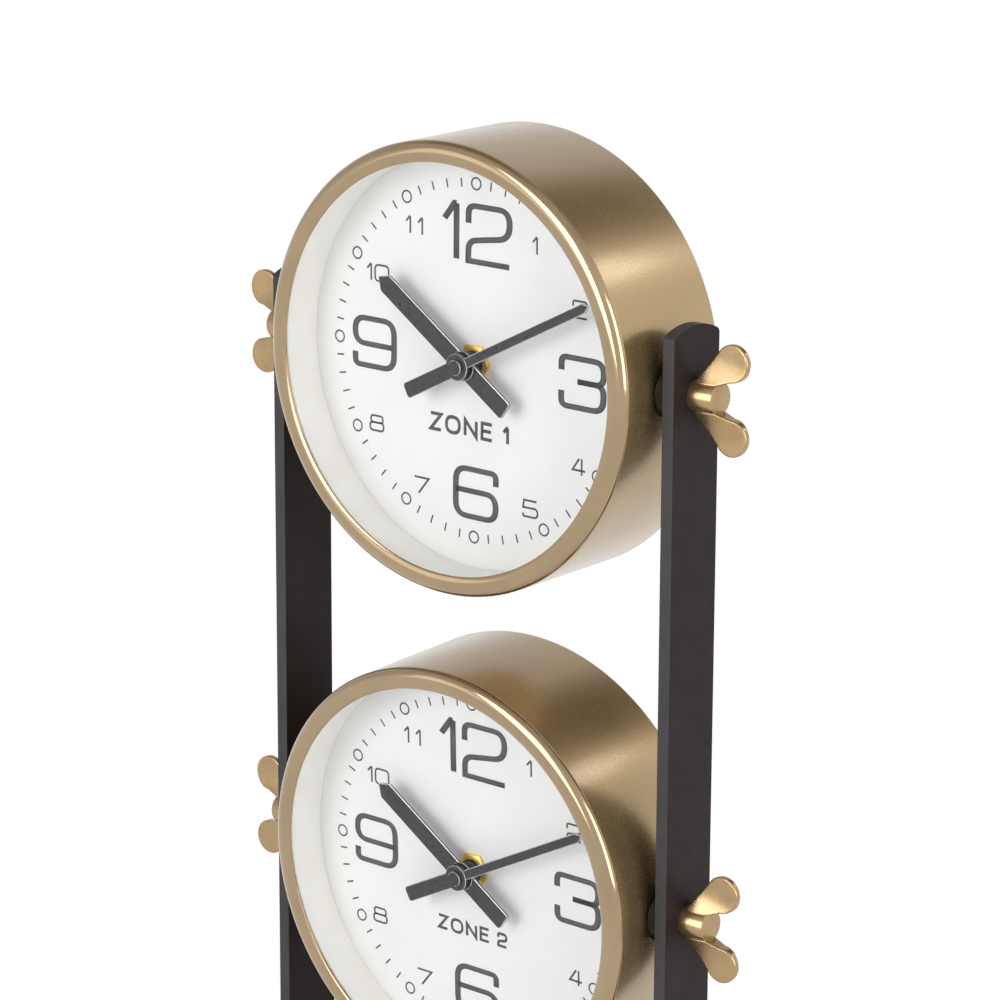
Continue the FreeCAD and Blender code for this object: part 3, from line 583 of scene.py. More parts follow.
# Lenses
# A flat disc of clear float glass, cut round and held between the bezel's lip and the liner. It
# is clean, with only the faintest haze.
lens_radius = lens_high.x
lens_facets = 120
clear_glass, shader = new_finish("clear lens glass")
mottle(shader, 0.03, (88, 94, 96), (92, 98, 100))
dull(shader, 0.012, 0.015, 0.025, detail=3.0)
shader.inputs["IOR"].default_value = 1.5
shader.inputs["Alpha"].default_value = 0.05
lens_profile = [(0, lens_low.y), (lens_radius, lens_low.y), (lens_radius, lens_high.y), (0, lens_high.y)]
lens_mesh = turned("lens", lens_profile, lens_facets, "Y")
set_in_clocks(lens_mesh, "lens_disc", "drum", clear_glass, node="lens")

# Dial liners
# A pale moulded ring lines the well between lens and dial. It stands on the dial's rim, presses
# the dial against the ledge and carries the lens.
liner_low, liner_high = in_clock("dial_wall")
liner_radius = 0.070
liner_front_edge = 0.0003
liner_back_edge = 0.0002
pale_liner, shader = new_finish("pale liner plastic")
mottle(shader, 0.01, (236, 234, 228), (242, 240, 235))
dull(shader, 0.003, 0.42, 0.5)
liner_profile = [(liner_radius, liner_low.y + liner_front_edge)]
liner_profile += [(liner_radius + liner_front_edge, liner_low.y), (liner_high.x, liner_low.y)]
liner_profile += [(liner_high.x, liner_high.y), (liner_radius + liner_back_edge, liner_high.y)]
liner_profile += [(liner_radius, liner_high.y - liner_back_edge)]
liner_mesh = turned("liner", liner_profile, drum_facets, "Y")
set_in_clocks(liner_mesh, "liner_ring", "drum", pale_liner, node="dial_wall")

# Dials
# A stiff card disc, matt white, with everything on it printed in one dark grey ink: a ring at
# each hour, a tick at each minute between, four large numerals, eight small ones and a label.
dial_radius = dial_high.x
dial_face = dial_low.y
dial_hole = 0.0040
dial_facets = 120
print_lift = 0.00005
print_turn = math.radians(-1.1)
marks_radius = 0.0596
tick_length = 0.0030
tick_width = 0.00055
hour_ring_radius = 0.00195
hour_ring_stroke = 0.00058
white_card, shader = new_finish("white dial card")
mottle(shader, 0.025, (240, 240, 240), (245, 245, 244), detail=3.0)
shader.inputs["Roughness"].default_value = 0.55
roughen(shader, 0.0005, 0.00001, detail=3.0)
grey_ink, shader = new_finish("dark grey dial ink")
mottle(shader, 0.0007, (74, 76, 80), (86, 88, 92))
shader.inputs["Roughness"].default_value = 0.5
card_profile = [(dial_hole, dial_face), (dial_radius, dial_face), (dial_radius, dial_high.y),
                (dial_hole, dial_high.y)]
card_mesh = turned("card", card_profile, dial_facets, "Y")
set_in_clocks(card_mesh, "dial_card", "drum", white_card, node="dial")


def marks_round_dial():
    """The ring of ticks and hour rings, laid out by a node tree in the dial's plane."""
    tree = bpy.data.node_groups.new("dial marks", "GeometryNodeTree")
    values = {"Radius": marks_radius, "Tick Length": tick_length, "Tick Width": tick_width,
              "Ring Radius": hour_ring_radius, "Ring Stroke": hour_ring_stroke, "Ink": print_lift}
    sockets = {name: tree.interface.new_socket(name, in_out="INPUT", socket_type="NodeSocketFloat")
               for name in values}
    finish_input = tree.interface.new_socket("Finish", in_out="INPUT", socket_type="NodeSocketMaterial")
    tree.interface.new_socket("Marks", in_out="OUTPUT", socket_type="NodeSocketGeometry")
    given = tree.nodes.new("NodeGroupInput")
    result = tree.nodes.new("NodeGroupOutput")

    def add(kind, **settings):
        """A node of this kind with these settings."""
        node = tree.nodes.new(kind)
        for name, value in settings.items():
            setattr(node, name, value)
        return node

    minutes = 60
    minutes_in_hour_step = 5
    circle = add("GeometryNodeMeshCircle")
    circle.inputs["Vertices"].default_value = minutes
    index = add("GeometryNodeInputIndex")
    hour = add("ShaderNodeMath", operation="MODULO")
    hour.inputs[1].default_value = minutes_in_hour_step
    is_tick = add("FunctionNodeCompare", data_type="FLOAT", operation="GREATER_THAN")
    is_tick.inputs["B"].default_value = 0.5
    angle = add("ShaderNodeMath", operation="MULTIPLY")
    angle.inputs[1].default_value = math.tau / minutes
    turn = add("ShaderNodeCombineXYZ")
    tick_size = add("ShaderNodeCombineXYZ")
    tick = add("GeometryNodeMeshCube")
    ring_path = add("GeometryNodeCurvePrimitiveCircle")
    ring_path.inputs["Resolution"].default_value = 40
    ring_section = add("GeometryNodeCurvePrimitiveQuadrilateral")
    ring = add("GeometryNodeCurveToMesh")
    ticks = add("GeometryNodeInstanceOnPoints")
    rings = add("GeometryNodeInstanceOnPoints")
    not_tick = add("FunctionNodeBooleanMath", operation="NOT")
    both = add("GeometryNodeJoinGeometry")
    real = add("GeometryNodeRealizeInstances")
    cover = add("GeometryNodeSetMaterial")
    for start, end in (
        (given.outputs["Radius"], circle.inputs["Radius"]),
        (index.outputs[0], hour.inputs[0]),
        (hour.outputs[0], is_tick.inputs["A"]),
        (index.outputs[0], angle.inputs[0]),
        (angle.outputs[0], turn.inputs["Z"]),
        (given.outputs["Tick Length"], tick_size.inputs["X"]),
        (given.outputs["Tick Width"], tick_size.inputs["Y"]),
        (given.outputs["Ink"], tick_size.inputs["Z"]),
        (tick_size.outputs[0], tick.inputs["Size"]),
        (given.outputs["Ring Radius"], ring_path.inputs["Radius"]),
        (given.outputs["Ring Stroke"], ring_section.inputs["Width"]),
        (given.outputs["Ink"], ring_section.inputs["Height"]),
        (ring_path.outputs["Curve"], ring.inputs["Curve"]),
        (ring_section.outputs["Curve"], ring.inputs["Profile Curve"]),
        (circle.outputs["Mesh"], ticks.inputs["Points"]),
        (is_tick.outputs[0], ticks.inputs["Selection"]),
        (tick.outputs["Mesh"], ticks.inputs["Instance"]),
        (turn.outputs[0], ticks.inputs["Rotation"]),
        (circle.outputs["Mesh"], rings.inputs["Points"]),
        (is_tick.outputs[0], not_tick.inputs[0]),
        (not_tick.outputs[0], rings.inputs["Selection"]),
        (ring.outputs["Mesh"], rings.inputs["Instance"]),
        (ticks.outputs["Instances"], both.inputs["Geometry"]),
        (rings.outputs["Instances"], both.inputs["Geometry"]),
        (both.outputs["Geometry"], real.inputs["Geometry"]),
        (real.outputs["Geometry"], cover.inputs["Geometry"]),
        (given.outputs["Finish"], cover.inputs["Material"]),
        (cover.outputs["Geometry"], result.inputs["Marks"]),
    ):
        tree.links.new(start, end)
    layout = put_in_scene("marks layout", bpy.data.meshes.new("marks layout"), grey_ink)
    nodes = layout.modifiers.new("marks", "NODES")
    nodes.node_group = tree
    for name, value in values.items():
        nodes[sockets[name].identifier] = value
    nodes[finish_input.identifier] = grey_ink
    return made_real(layout)


on_dial = Matrix.Translation((0, dial_face - print_lift / 2, 0)) @ Matrix.Rotation(math.pi / 2, 4, "X")
on_dial = on_dial @ Matrix.Rotation(print_turn, 4, "Z")
marks_mesh = marks_round_dial()
marks_mesh.transform(on_dial)
set_in_clocks(outward(marks_mesh), "dial_marks", "drum", grey_ink)

# Strokes of each figure on a square of one by one: corners, with a rounding where a third value
# says how wide the bend is. A figure that closes on itself ends with None.
left, right, low, high = 0.0, 1.0, 0.0, 1.0
wide_bend = 0.26
figures = {
    "0": [[(left, low, wide_bend), (right, low, wide_bend), (right, high, wide_bend),
           (left, high, wide_bend), None]],
    "1": [[(0.0, 0.70), (0.75, 1.0), (0.9, 1.0)], [(0.9, 1.0), (0.9, 0.0)]],
    "2": [[(left, 0.68), (left, high, wide_bend), (right, high, wide_bend), (right, 0.50, 0.22),
           (left, 0.36, 0.22), (left, low), (right, low)]],
    "3": [[(left, 0.72), (left, high, wide_bend), (right, high, wide_bend), (right, 0.53, 0.18),
           (0.38, 0.53)],
          [(0.38, 0.53), (right, 0.53, 0.18), (right, low, wide_bend), (left, low, wide_bend),
           (left, 0.30)]],
    "4": [[(0.52, high), (left, 0.28), (right, 0.28)], [(0.72, high), (0.72, low)]],
    "5": [[(0.92, high), (0.06, high), (0.0, 0.54), (right, 0.56, wide_bend), (right, low, wide_bend),
           (left, low, wide_bend), (left, 0.2)]],
    "6": [[(right, 0.74), (right, high, wide_bend), (left, high, wide_bend), (left, low, wide_bend),
           (right, low, wide_bend), (right, 0.54, wide_bend), (left, 0.54)]],
    "7": [[(left, high), (right, high), (0.3, low)]],
    "8": [[(0.06, 0.54, 0.2), (0.94, 0.54, 0.2), (0.94, high, 0.2), (0.06, high, 0.2), None],
          [(left, low, 0.22), (right, low, 0.22), (right, 0.54, 0.22), (left, 0.54, 0.22), None]],
    "9": [[(left, 0.26), (left, low, wide_bend), (right, low, wide_bend), (right, high, wide_bend),
           (left, high, wide_bend), (left, 0.46, wide_bend), (right, 0.46)]],
    "Z": [[(left, high), (right, high), (left, low), (right, low)]],
    "O": [[(left, low, 0.42), (right, low, 0.42), (right, high, 0.42), (left, high, 0.42), None]],
    "N": [[(left, low), (left, high), (right, low), (right, high)]],
    "E": [[(right, high), (left, high), (left, low), (right, low)], [(left, 0.52), (0.9, 0.52)]],
}


def eased(corners):
    """A line through corners, with an arc where a corner is given a bend."""
    arc_steps = 8
    points = []
    count = len(corners)
    for place, corner in enumerate(corners):
        here = Vector(corner[:2])
        if len(corner) == 2:
            points.append(here)
            continue
        before = Vector(corners[(place - 1) % count][:2])
        after = Vector(corners[(place + 1) % count][:2])
        back, ahead = (before - here).normalized(), (after - here).normalized()
        reach = min(corner[2], (before - here).length / 2, (after - here).length / 2)
        start, end = here + back * reach, here + ahead * reach
        for step in range(arc_steps + 1):
            t = step / arc_steps
            points.append(start * (1 - t) ** 2 + here * 2 * t * (1 - t) + end * t ** 2)
    return [here for place, here in enumerate(points) if (here - points[place - 1]).length > 1e-6]


def ink_stroke(points, closed, pen):
    """A thin strip of ink along a line, from a pen with a width across and a width up the dial."""
    sharpest_mitre = 0.35
    across, up = pen
    drawn = [Vector((point.x / across, point.y / up)) for point in points]
    count = len(drawn)
    corners = []
    for place, here in enumerate(drawn):
        before = drawn[place - 1] if place or closed else None
        after = drawn[(place + 1) % count] if place < count - 1 or closed else None
        heading = [(here - before).normalized()] if before is not None else []
        heading += [(after - here).normalized()] if after is not None else []
        along = sum(heading, Vector((0, 0))).normalized()
        side = Vector((-along.y, along.x))
        mitre = max(side.dot(Vector((-heading[0].y, heading[0].x))), sharpest_mitre)
        reach = side * (0.5 / mitre)
        for edge in (here + reach, here - reach):
            x, y = edge.x * across, edge.y * up
            corners += [(x, y, -print_lift / 2), (x, y, print_lift / 2)]
    faces = []
    for place in range(count if closed else count - 1):
        a = 4 * place
        b = 4 * ((place + 1) % count)
        faces += [[a, b, b + 1, a + 1], [a + 1, b + 1, b + 3, a + 3], [a + 3, b + 3, b + 2, a + 2],
                  [a + 2, b + 2, b, a]]
    if not closed:
        last = 4 * (count - 1)
        faces += [[0, 1, 3, 2], [last, last + 2, last + 3, last + 1]]
    return corners, faces


def figure_mesh(words):
    """Ink for figures given as (sign, left, low, width, height, pen) on the dial, in metres."""
    corners = []
    faces = []
    for sign, x, z, width, height, pen in words:
        across, up = pen
        for strokes in figures[sign]:
            closed = strokes[-1] is None
            scaled = []
            for corner in (strokes[:-1] if closed else strokes):
                place_x = x + across / 2 + corner[0] * (width - across)
                place_z = z + up / 2 + corner[1] * (height - up)
                bend = (corner[2] * height,) if len(corner) == 3 else ()
                scaled.append((place_x, place_z) + bend)
            more, strips = ink_stroke(eased(scaled), closed, pen)
            faces += [[number + len(corners) for number in strip] for strip in strips]
            corners += more
    mesh = bpy.data.meshes.new("figures")
    mesh.from_pydata(corners, [], faces)
    mesh.transform(on_dial)
    return outward(mesh)


big_pen = (0.00245, 0.0019)
small_pen = (0.0007, 0.0007)
big_figures = [
    ("1", -0.0146, 0.0328, 0.0081, 0.0203, big_pen),
    ("2", -0.0044, 0.0328, 0.0198, 0.0203, big_pen),
    ("3", 0.0351, -0.0092, 0.0198, 0.0181, big_pen),
    ("6", -0.0092, -0.0537, 0.0197, 0.0181, big_pen),
    ("9", -0.0538, -0.0092, 0.0197, 0.0181, big_pen),
]
small_height = 0.0062
small_eight_height = small_height * 0.94
small_figures = [
    ("1", 0.0235, 0.0393, 0.0027, small_height, small_pen),
    ("2", 0.0404, 0.0210, 0.0064, small_height, small_pen),
    ("4", 0.0411, -0.0309, 0.0059, small_height, small_pen),
    ("5", 0.0206, -0.0487, 0.0068, small_height, small_pen),
    ("7", -0.0265, -0.0490, 0.0070, small_height, small_pen),
    ("8", -0.0463, -0.0306, 0.0067, small_eight_height, small_pen),
    ("1", -0.0476, 0.0210, 0.0027, small_height, small_pen),
    ("0", -0.0441, 0.0210, 0.0067, small_height, small_pen),
    ("1", -0.0304, 0.0393, 0.0027, small_height, small_pen),
    ("1", -0.0252, 0.0393, 0.0027, small_height, small_pen),
]
set_in_clocks(figure_mesh(big_figures + small_figures), "dial_figures", "drum", grey_ink)
label_pen = 0.0012
label_low = -0.0259
label_height = 0.0065
label_letters = [
    ("Z", -0.0196, 0.0056),
    ("O", -0.0128, 0.0068),
    ("N", -0.0047, 0.0060),
    ("E", 0.0026, 0.0054),
]
label_number_left = 0.0118
narrow_number = 0.0031
wide_number = 0.0054
label_numbers = ("3", "2", "1")
label_scales = (0.84, 0.84, 1.0)
label_middle = label_low + label_height / 2
for level, number, scale in zip(levels, label_numbers, label_scales):
    number_width = narrow_number if number == "1" else wide_number
    scaled_low = label_middle - label_height / 2 * scale
    scaled_height = label_height * scale
    scaled_pen = (label_pen * scale, label_pen * scale)
    label = []
    for sign, letter_left, letter_width in label_letters + [(number, label_number_left, number_width)]:
        label.append((sign, letter_left * scale, scaled_low, letter_width * scale, scaled_height, scaled_pen))
    label_mesh = figure_mesh(label)
    label_mesh.transform(seat(level))
    label_piece = put_in_scene(f"{level}_dial_label", label_mesh, grey_ink)
    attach(label_piece, f"{level}_drum")

# Movements
# A moulded black box holds the gear train behind a rear lid, with an open bay for one round
# cell. Its threaded bushing goes through the dial. The cell's plain jacket leaves the can bare
# at the end with the cap.
cell_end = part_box("lower_battery")[1].x
cell_cap_length = 0.0013
bare_can_length = 0.0018
jacket_edge = 0.0001
moulded_black, shader = new_finish("moulded black plastic")
shader.inputs["Specular IOR Level"].default_value = 0.5
mottle(shader, 0.006, (24, 23, 24), (33, 31, 32))
dull(shader, 0.002, 0.3, 0.42)
roughen(shader, 0.0004, 0.000015)
circuit_green, shader = new_finish("circuit board green")
mottle(shader, 0.003, (38, 88, 52), (48, 104, 62))
dull(shader, 0.001, 0.35, 0.45)
cell_jacket, shader = new_finish("plain cell jacket", metallic=0.6)
jacket_colour = mottle(shader, 0.004, (70, 76, 82), (88, 94, 100))
dull(shader, 0.002, 0.28, 0.36)
tree = cell_jacket.node_tree
cell_place = tree.nodes.new("ShaderNodeSeparateXYZ")
tree.links.new(tree.nodes.new("ShaderNodeTexCoord").outputs["Object"], cell_place.inputs[0])
jacket_end = cell_end - cell_cap_length - bare_can_length
past_jacket = spread(cell_place.outputs["X"], 0, 1, jacket_end - jacket_edge, jacket_end + jacket_edge)
cell_colour = blend_colours(past_jacket, shown(80, 86, 92), shown(200, 200, 198))
tree.links.new(jacket_colour, cell_colour.node.inputs["A"])
tree.links.new(cell_colour, shader.inputs["Base Color"])


def finish_in_clocks(node, finish):
    """Give a piece that keeps its CAD shape its finish in each clock."""
    for level in levels:
        cad_mesh = frame["nodes"][f"{level}_{node}"].data
        cad_mesh.materials.clear()
        cad_mesh.materials.append(finish)


finish_in_clocks("movement_housing", moulded_black)
finish_in_clocks("movement_cover", moulded_black)
finish_in_clocks("battery", cell_jacket)
finish_in_clocks("coil_board", circuit_green)

# Bushing nuts
# A brass hexagon nut, turned from bar with a chamfered front, runs on the threaded bushing and
# clamps each movement against the dial.
nut_low, nut_high = in_clock("bushing_nut")
nut_flat = 0.0058
nut_bore = 0.0040
nut_face = 0.0054
nut_slope = 0.55
nut_lip = 0.0003
nut_facets = 72
bright_brass, shader = new_finish("bright brass", metallic=0.55)
mottle(shader, 0.006, (236, 188, 88), (246, 203, 108), detail=3.0)
dull(shader, 0.0008, 0.28, 0.38)


def nut_side(angle):
    """Distance from the nut's axis to its side, with corners to the left and right."""
    return hexagon(nut_flat, angle + math.pi / 6)


nut_rows = [(nut_bore, nut_high.y), lambda angle: (nut_side(angle), nut_high.y),
            lambda angle: (nut_side(angle), nut_low.y + (nut_side(angle) - nut_face) * nut_slope),
            (nut_face, nut_low.y), (nut_bore + nut_lip, nut_low.y), (nut_bore, nut_low.y + nut_lip)]
nut_mesh = turned("nut", nut_rows, nut_facets, "Y")
set_in_clocks(nut_mesh, "hexagon_nut", "drum", bright_brass, node="bushing_nut")

# Wheels and arbors
# Cut brass arbors and moulded wheels turn the hour hand once for twelve turns of the minute
# hand. A ribbed knob at the back sets them.
gear_ivory, shader = new_finish("moulded gear ivory")
mottle(shader, 0.003, (232, 226, 208), (240, 235, 220))
shader.inputs["Roughness"].default_value = 0.35
finish_in_clocks("minute_arbor", bright_brass)
finish_in_clocks("hour_wheel", gear_ivory)
finish_in_clocks("motion_wheel", gear_ivory)
finish_in_clocks("setting_knob", moulded_black)

# Hands
# Punched aluminium bars painted dark grey, with edges worn bright. Each sits on a turned hub
# that presses onto its shaft; the minute hand's hub ends in a closed cap.
hour_low, hour_high = in_clock("hour_hand")
minute_low, minute_high = in_clock("minute_hand")
hand_thickness = 0.0010
hand_edge = 0.00025
hand_corner = 0.0012
hour_angle = 305.5
hour_length = 0.0442
hour_half = 0.00345
hour_tail = 0.0223
hour_point = 0.0036
minute_angle = 63.5
minute_length = 0.0613
minute_half = 0.00168
minute_tail = 0.0250
minute_tail_half = 0.00275
minute_point = 0.0026
cap_height = 0.0013
hub_edge = 0.00018
hub_facets = 64
hand_grey, shader = new_finish("dark grey hand paint")
shader.inputs["Specular IOR Level"].default_value = 0.6
mottle(shader, 0.004, (33, 34, 36), (41, 42, 45), detail=3.0)
dull(shader, 0.0012, 0.25, 0.36, detail=3.0)
bare_edge, shader = new_finish("bare hand edge", metallic=1.0)
mottle(shader, 0.002, (196, 197, 200), (232, 233, 235), detail=3.0)
dull(shader, 0.001, 0.2, 0.3)


def hand_mesh(length, half, tail, tail_half, point, angle, front):
    """A bar with a blunt point and a square tail, which may be broader than the bar."""
    shoulder = tail_half > half
    outline = arc_points((tail_half - hand_corner, hand_corner - tail), hand_corner, -90, 0, 5)
    outline += [(tail_half, 0), (half, 0)] if shoulder else []
    outline += [(half, length - point), (0, length), (-half, length - point)]
    outline += [(-half, 0), (-tail_half, 0)] if shoulder else []
    outline += arc_points((hand_corner - tail_half, hand_corner - tail), hand_corner, 180, 270, 5)
    mesh = prism("hand", outline, front + hand_thickness, front, lambda u, v, w: (u, w, v))
    mesh.transform(Matrix.Rotation(math.radians(angle), 4, "Y"))
    return mesh


hour_front = hour_low.y
minute_front = minute_low.y + cap_height
hour_blade = hand_mesh(hour_length, hour_half, hour_tail, hour_half, hour_point, hour_angle, hour_front)
set_in_clocks(hour_blade, "hour_blade", "hour", hand_grey, node="hour_hand",
              edge=hand_edge, bare=bare_edge)
minute_blade = hand_mesh(minute_length, minute_half, minute_tail, minute_tail_half, minute_point,
                         minute_angle, minute_front)
set_in_clocks(minute_blade, "minute_blade", "minute", hand_grey, node="minute_hand",
              edge=hand_edge, bare=bare_edge)


def stepped_hub(back, steps_out):
    """A turned hub: its back, then (radius, front) of each step towards the cap, with bare edges."""
    profile = [(0, back)]
    for radius, front in steps_out:
        profile += [(radius, profile[-1][1]), (radius, front + hub_edge), (radius - hub_edge, front)]
    profile.append((0, profile[-1][1]))
    return turned("hub", profile, hub_facets, "Y", bare_rows=range(2, len(profile) - 1, 3))


hour_pipe = (0.0036, hour_front + hand_thickness)
hour_collar = (0.0050, hour_front - 0.00015)
hour_hub = stepped_hub(hour_high.y, [hour_pipe, hour_collar])
set_in_clocks(hour_hub, "hour_hub", "hour", hand_grey, bare=bare_edge)
minute_pipe = (0.0027, minute_front + hand_thickness)
minute_collar = (0.0045, minute_front - 0.0003)
minute_cap = (0.0026, minute_low.y)
minute_hub = stepped_hub(minute_high.y, [minute_pipe, minute_collar, minute_cap])
set_in_clocks(minute_hub, "minute_hub", "minute", hand_grey, bare=bare_edge)

# Wing screws
# Cast and polished brass thumb screws: a round barrel with a flat end, and two flat wings with
# rounded lobes that thicken towards the barrel. They clamp the drums at any tilt.
screw_low, screw_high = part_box("lower_wing_screw_right")
barrel_radius = screw_high.y
barrel_length = 0.0096
barrel_edge = 0.0005
barrel_edge_middle = barrel_edge * 0.3
barrel_facets = 72
shank_radius = 0.0030
shank_point = 0.0008
wing_half = 0.0011
wing_half_span = 0.0120
wing_reach = 0.0143
wing_lobe = 0.0061
wing_lobe_facets = 28
wing_slant = 139.0
wing_edge = 0.0005
wing_sink = 0.0012
wing_root_half = 0.0042
wing_thinning_end = 0.0155
wing_heel = 0.005
wing_taper = 0.25
wing_cuts = 14
wing_brass, shader = new_finish("polished wing brass", metallic=0.88)
mottle(shader, 0.007, (168, 141, 103), (181, 154, 115), detail=3.0)
dull(shader, 0.0015, 0.2, 0.3, detail=3.0)
barrel_seat = screw_high.x - wing_reach - wing_lobe
barrel_end = barrel_seat + barrel_length
barrel_profile = [(0, screw_low.x), (shank_radius - shank_point, screw_low.x),
                  (shank_radius, screw_low.x + shank_point), (shank_radius, barrel_seat),
                  (barrel_radius, barrel_seat), (barrel_radius, barrel_end - barrel_edge),
                  (barrel_radius - barrel_edge_middle, barrel_end - barrel_edge_middle),
                  (barrel_radius - barrel_edge, barrel_end), (0, barrel_end)]
lobe_x = barrel_seat + wing_reach
wing_root = barrel_radius - wing_sink
wing_depth = wing_root_half - wing_half
wing_rise = wing_thinning_end - math.sqrt(barrel_radius ** 2 - wing_root_half ** 2)
wing_hollow = (wing_depth ** 2 + wing_rise ** 2) / (2 * wing_depth)


def wing_swell(x, z):
    """How much thicker a wing is at this place than at its lobe; most where it joins the barrel."""
    short = max(wing_thinning_end - z - wing_taper * max(x - barrel_seat - wing_heel, 0), 0)
    return (wing_half + wing_hollow - math.sqrt(wing_hollow ** 2 - short ** 2)) / wing_half


def wing_mesh(way):
    """One wing: a leaf with rounded edges, thickened towards the barrel by a hollow curve.

    Its corners and faces are put in order at the end, so that every run gives the same mesh.
    """
    outline = [(barrel_seat + barrel_edge, wing_root), (barrel_end - barrel_edge, wing_root)]
    outline += arc_points((lobe_x, wing_half_span), wing_lobe, -90, wing_slant, wing_lobe_facets)
    mesh = prism("wing", outline, -wing_half, wing_half, lambda u, v, w: (u, w, v))
    leaf = bmesh.new()
    leaf.from_mesh(mesh)
    rim = [edge for edge in leaf.edges if abs(edge.verts[0].co.y - edge.verts[1].co.y) < 1e-9]
    bmesh.ops.bevel(leaf, geom=rim, offset=wing_edge, segments=4, profile=0.5, affect="EDGES",
                    clamp_overlap=True)
    wing_width = screw_high.x - barrel_seat
    for cut in range(1, wing_cuts + 1):
        z = wing_root + (wing_thinning_end - wing_root) * cut / wing_cuts
        x = barrel_seat + wing_width * cut / (wing_cuts + 1)
        for place, facing in (((0, 0, z), (0, 0, 1)), ((x, 0, 0), (1, 0, 0))):
            everything = leaf.verts[:] + leaf.edges[:] + leaf.faces[:]
            bmesh.ops.bisect_plane(leaf, geom=everything, dist=1e-7, plane_co=place, plane_no=facing)
    for corner in leaf.verts:
        corner.co.y *= wing_swell(corner.co.x, corner.co.z)
        corner.co.z *= way
    in_order = sorted(leaf.verts, key=lambda corner: corner.co[:])
    number = {corner: place for place, corner in enumerate(in_order)}
    faces = sorted([number[corner] for corner in face.verts] for face in leaf.faces)
    mesh.clear_geometry()
    mesh.from_pydata([corner.co[:] for corner in in_order], [], faces)
    leaf.free()
    return outward(mesh)


for side, turn in (("right", 0), ("left", math.pi)):
    barrel_mesh = turned("barrel", barrel_profile, barrel_facets, "X")
    parts = [("barrel", barrel_mesh), ("wing_up", wing_mesh(1)), ("wing_down", wing_mesh(-1))]
    for level in levels:
        pivot = Vector(joints[f"{level}_tilt"]["pos_m"])
        at_pivot = Matrix.Translation(pivot) @ Matrix.Rotation(turn, 4, "Z")
        for name, mesh in parts:
            fitted = mesh.copy()
            fitted.transform(at_pivot)
            piece = put_in_scene(f"{level}_{side}_{name}", fitted, wing_brass)
            if name != "barrel":
                piece.modifiers.new("flat faces", "WEIGHTED_NORMAL")
            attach(piece, f"{level}_screw_{side}")
            if name == "barrel":
                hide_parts(f"{level}_wing_screw_{side}")

# Studio
# A wide pale floor in a white room. A large soft lamp in front lights the dials, a weak one on
# the left fills the bezels, one on the right lights the drums' sides and a small one stands behind.
floor_half = 15.0
floor_tone = (0.86, 0.86, 0.86, 1)
shadow_floor = 0.17
white_floor = 0.42
floor_mesh = bpy.data.meshes.new("floor")
floor_corners = [(-floor_half, -floor_half, 0), (floor_half, -floor_half, 0)]
floor_corners += [(floor_half, floor_half, 0), (-floor_half, floor_half, 0)]
floor_mesh.from_pydata(floor_corners, [], [[0, 1, 2, 3]])
pale_floor, shader = new_finish("pale floor")
shader.inputs["Base Color"].default_value = floor_tone
shader.inputs["Roughness"].default_value = 0.9
shader.inputs["Specular IOR Level"].default_value = 0.0


def combine(operation, first, second):
    """One value made from two."""
    tree = first.id_data
    node = tree.nodes.new("ShaderNodeMath")
    node.operation = operation
    tree.links.new(first, node.inputs[0])
    tree.links.new(second, node.inputs[1])
    return node.outputs[0]


def seen_directly(tree):
    """One where a ray comes from the camera, a reflection or a lens, and nought elsewhere."""
    path = tree.nodes.new("ShaderNodeLightPath")
    mirrored = combine("MAXIMUM", path.outputs["Is Camera Ray"], path.outputs["Is Glossy Ray"])
    return combine("MAXIMUM", mirrored, path.outputs["Is Transmission Ray"])


tree = pale_floor.node_tree
place = tree.nodes.new("ShaderNodeTexCoord")
reach = tree.nodes.new("ShaderNodeVectorMath")
reach.operation = "LENGTH"
tree.links.new(place.outputs["Object"], reach.inputs[0])
fade = spread(reach.outputs["Value"], 0, 1, shadow_floor, white_floor)
white_light = tree.nodes.new("ShaderNodeEmission")
white_light.inputs["Strength"].default_value = 1.0
mixed = tree.nodes.new("ShaderNodeMixShader")
tree.links.new(combine("MULTIPLY", fade, seen_directly(tree)), mixed.inputs["Fac"])
tree.links.new(shader.outputs["BSDF"], mixed.inputs[1])
tree.links.new(white_light.outputs["Emission"], mixed.inputs[2])
tree.links.new(mixed.outputs["Shader"], tree.nodes["Material Output"].inputs["Surface"])
floor = put_in_scene("floor", floor_mesh, pale_floor)

# Only reflections see the room's dark zones: a dimmer ceiling, darker still overhead on the
# left, and a dark corner high up behind, which shade the drums and bezels.
ambient_light = 0.62
white_wall = (1, 1, 1, 1)
dark_zones = [
    ((-0.4, 0, 0.9), 0.25, 0.55, (0.70, 0.68, 0.68, 1)),
    ((-0.4, 0, 0.9), 0.78, 0.95, (0.30, 0.25, 0.20, 1)),
    ((0.10, 0.72, 0.68), math.cos(math.radians(22)), math.cos(math.radians(9)), (0.06, 0.035, 0.02, 1)),
]
world = bpy.data.worlds.new("white room")
bpy.context.scene.world = world
world.use_nodes = True
tree = world.node_tree
ambient = tree.nodes["Background"]
tree.links.new(spread(seen_directly(tree), ambient_light, 1.0, 0, 1), ambient.inputs["Strength"])
direction = tree.nodes.new("ShaderNodeTexCoord")
path = tree.nodes.new("ShaderNodeLightPath")
walls = None
for zone_way, zone_start, zone_full, zone_tone in dark_zones:
    nearness = tree.nodes.new("ShaderNodeVectorMath")
    nearness.operation = "DOT_PRODUCT"
    nearness.inputs[1].default_value = zone_way
    tree.links.new(direction.outputs["Generated"], nearness.inputs[0])
    zone = spread(nearness.outputs["Value"], 0, 1, zone_start, zone_full)
    darker = blend_colours(combine("MULTIPLY", zone, path.outputs["Is Glossy Ray"]), white_wall, zone_tone)
    if walls is not None:
        tree.links.new(walls, darker.node.inputs["A"])
    walls = darker
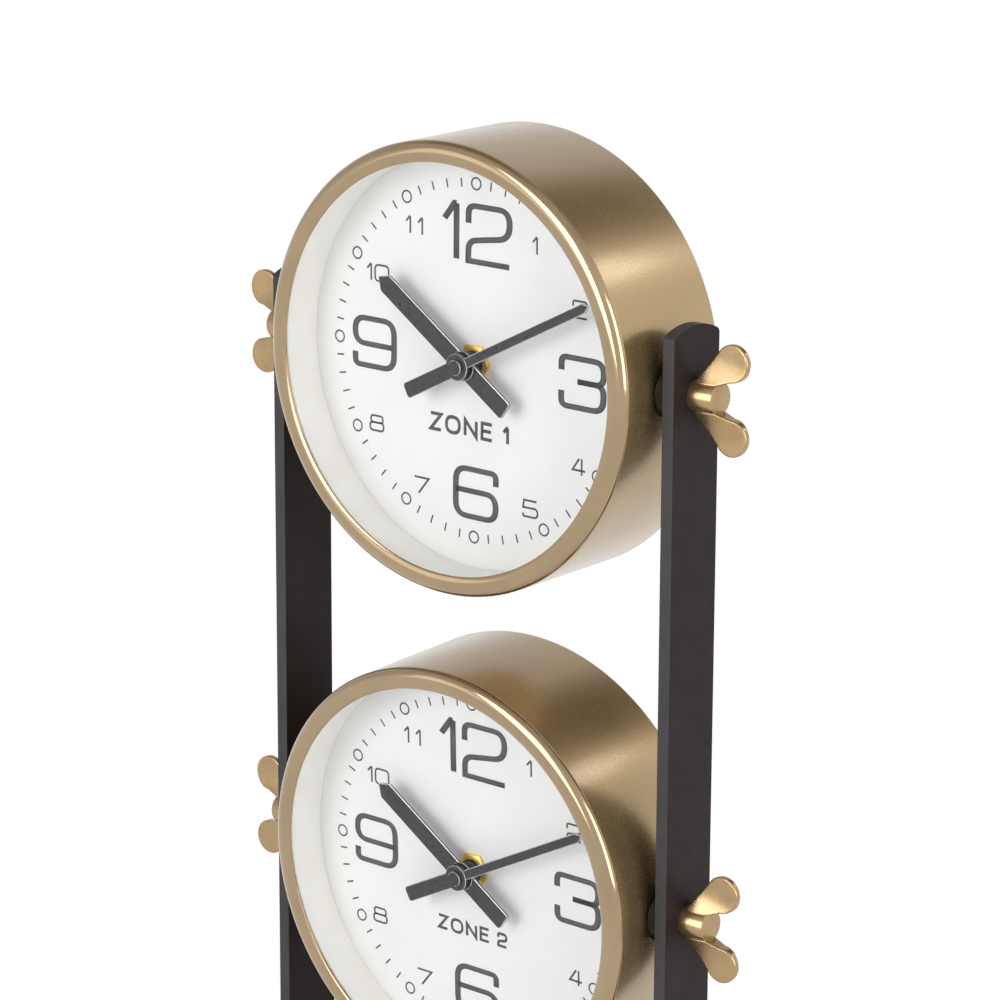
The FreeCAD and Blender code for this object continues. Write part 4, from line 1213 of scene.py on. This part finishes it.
tree.links.new(walls, ambient.inputs["Color"])


def soft_lamp(name, place, aim, width, height, watts):
    """A rectangular soft lamp that looks at a point and does not show itself to the camera."""
    lamp = bpy.data.lights.new(name, "AREA")
    lamp.shape = "RECTANGLE"
    lamp.size = width
    lamp.size_y = height
    lamp.energy = watts
    holder = bpy.data.objects.new(name, lamp)
    bpy.context.scene.collection.objects.link(holder)
    holder.location = place
    holder.visible_camera = False
    holder.rotation_euler = (Vector(aim) - Vector(place)).to_track_quat("-Z", "Y").to_euler()


soft_lamp("front lamp", place=(-0.35, -1.97, 0.82), aim=(0, 0, 0.5), width=1.1, height=1.3, watts=19)
soft_lamp("left fill", place=(-1.25, -1.72, 0.55), aim=(0, 0, 0.38), width=0.5, height=0.8, watts=1.0)
soft_lamp("right lamp", place=(1.47, -0.31, 0.75), aim=(0, 0, 0.5), width=1.1, height=1.0, watts=14)
soft_lamp("back lamp", place=(0.59, 0.92, 1.07), aim=(0.06, 0, 0.42), width=0.16, height=0.16, watts=0.3)

# Camera
# Level with the upper clock, to the right of its face and a little above, as in the photograph.
# A long lens keeps the two clocks nearly the same size.
camera_turn = math.radians(39.52)
camera_rise = math.radians(13.82)
camera_roll = math.radians(0.24)
camera_distance = 1.2729
film_width = 36.0
focal_length = 137.6
aim_below_pivot = 0.0479
aim = Vector((0.0031, 0.0026, joints["upper_tilt"]["pos_m"][2] - aim_below_pivot))
level_share = math.cos(camera_rise)
towards = Vector((math.sin(camera_turn) * level_share, -math.cos(camera_turn) * level_share,
                  math.sin(camera_rise)))
lens = bpy.data.cameras.new("photograph")
lens.sensor_width = film_width
lens.lens = focal_length
camera = bpy.data.objects.new("photograph", lens)
bpy.context.scene.collection.objects.link(camera)
camera.location = aim + towards * camera_distance
facing = towards.to_track_quat("Z", "Y").to_matrix().to_4x4()
camera.rotation_euler = (facing @ Matrix.Rotation(camera_roll, 4, "Z")).to_euler()
bpy.context.scene.camera = camera
bpy.context.scene.view_settings.view_transform = "Standard"
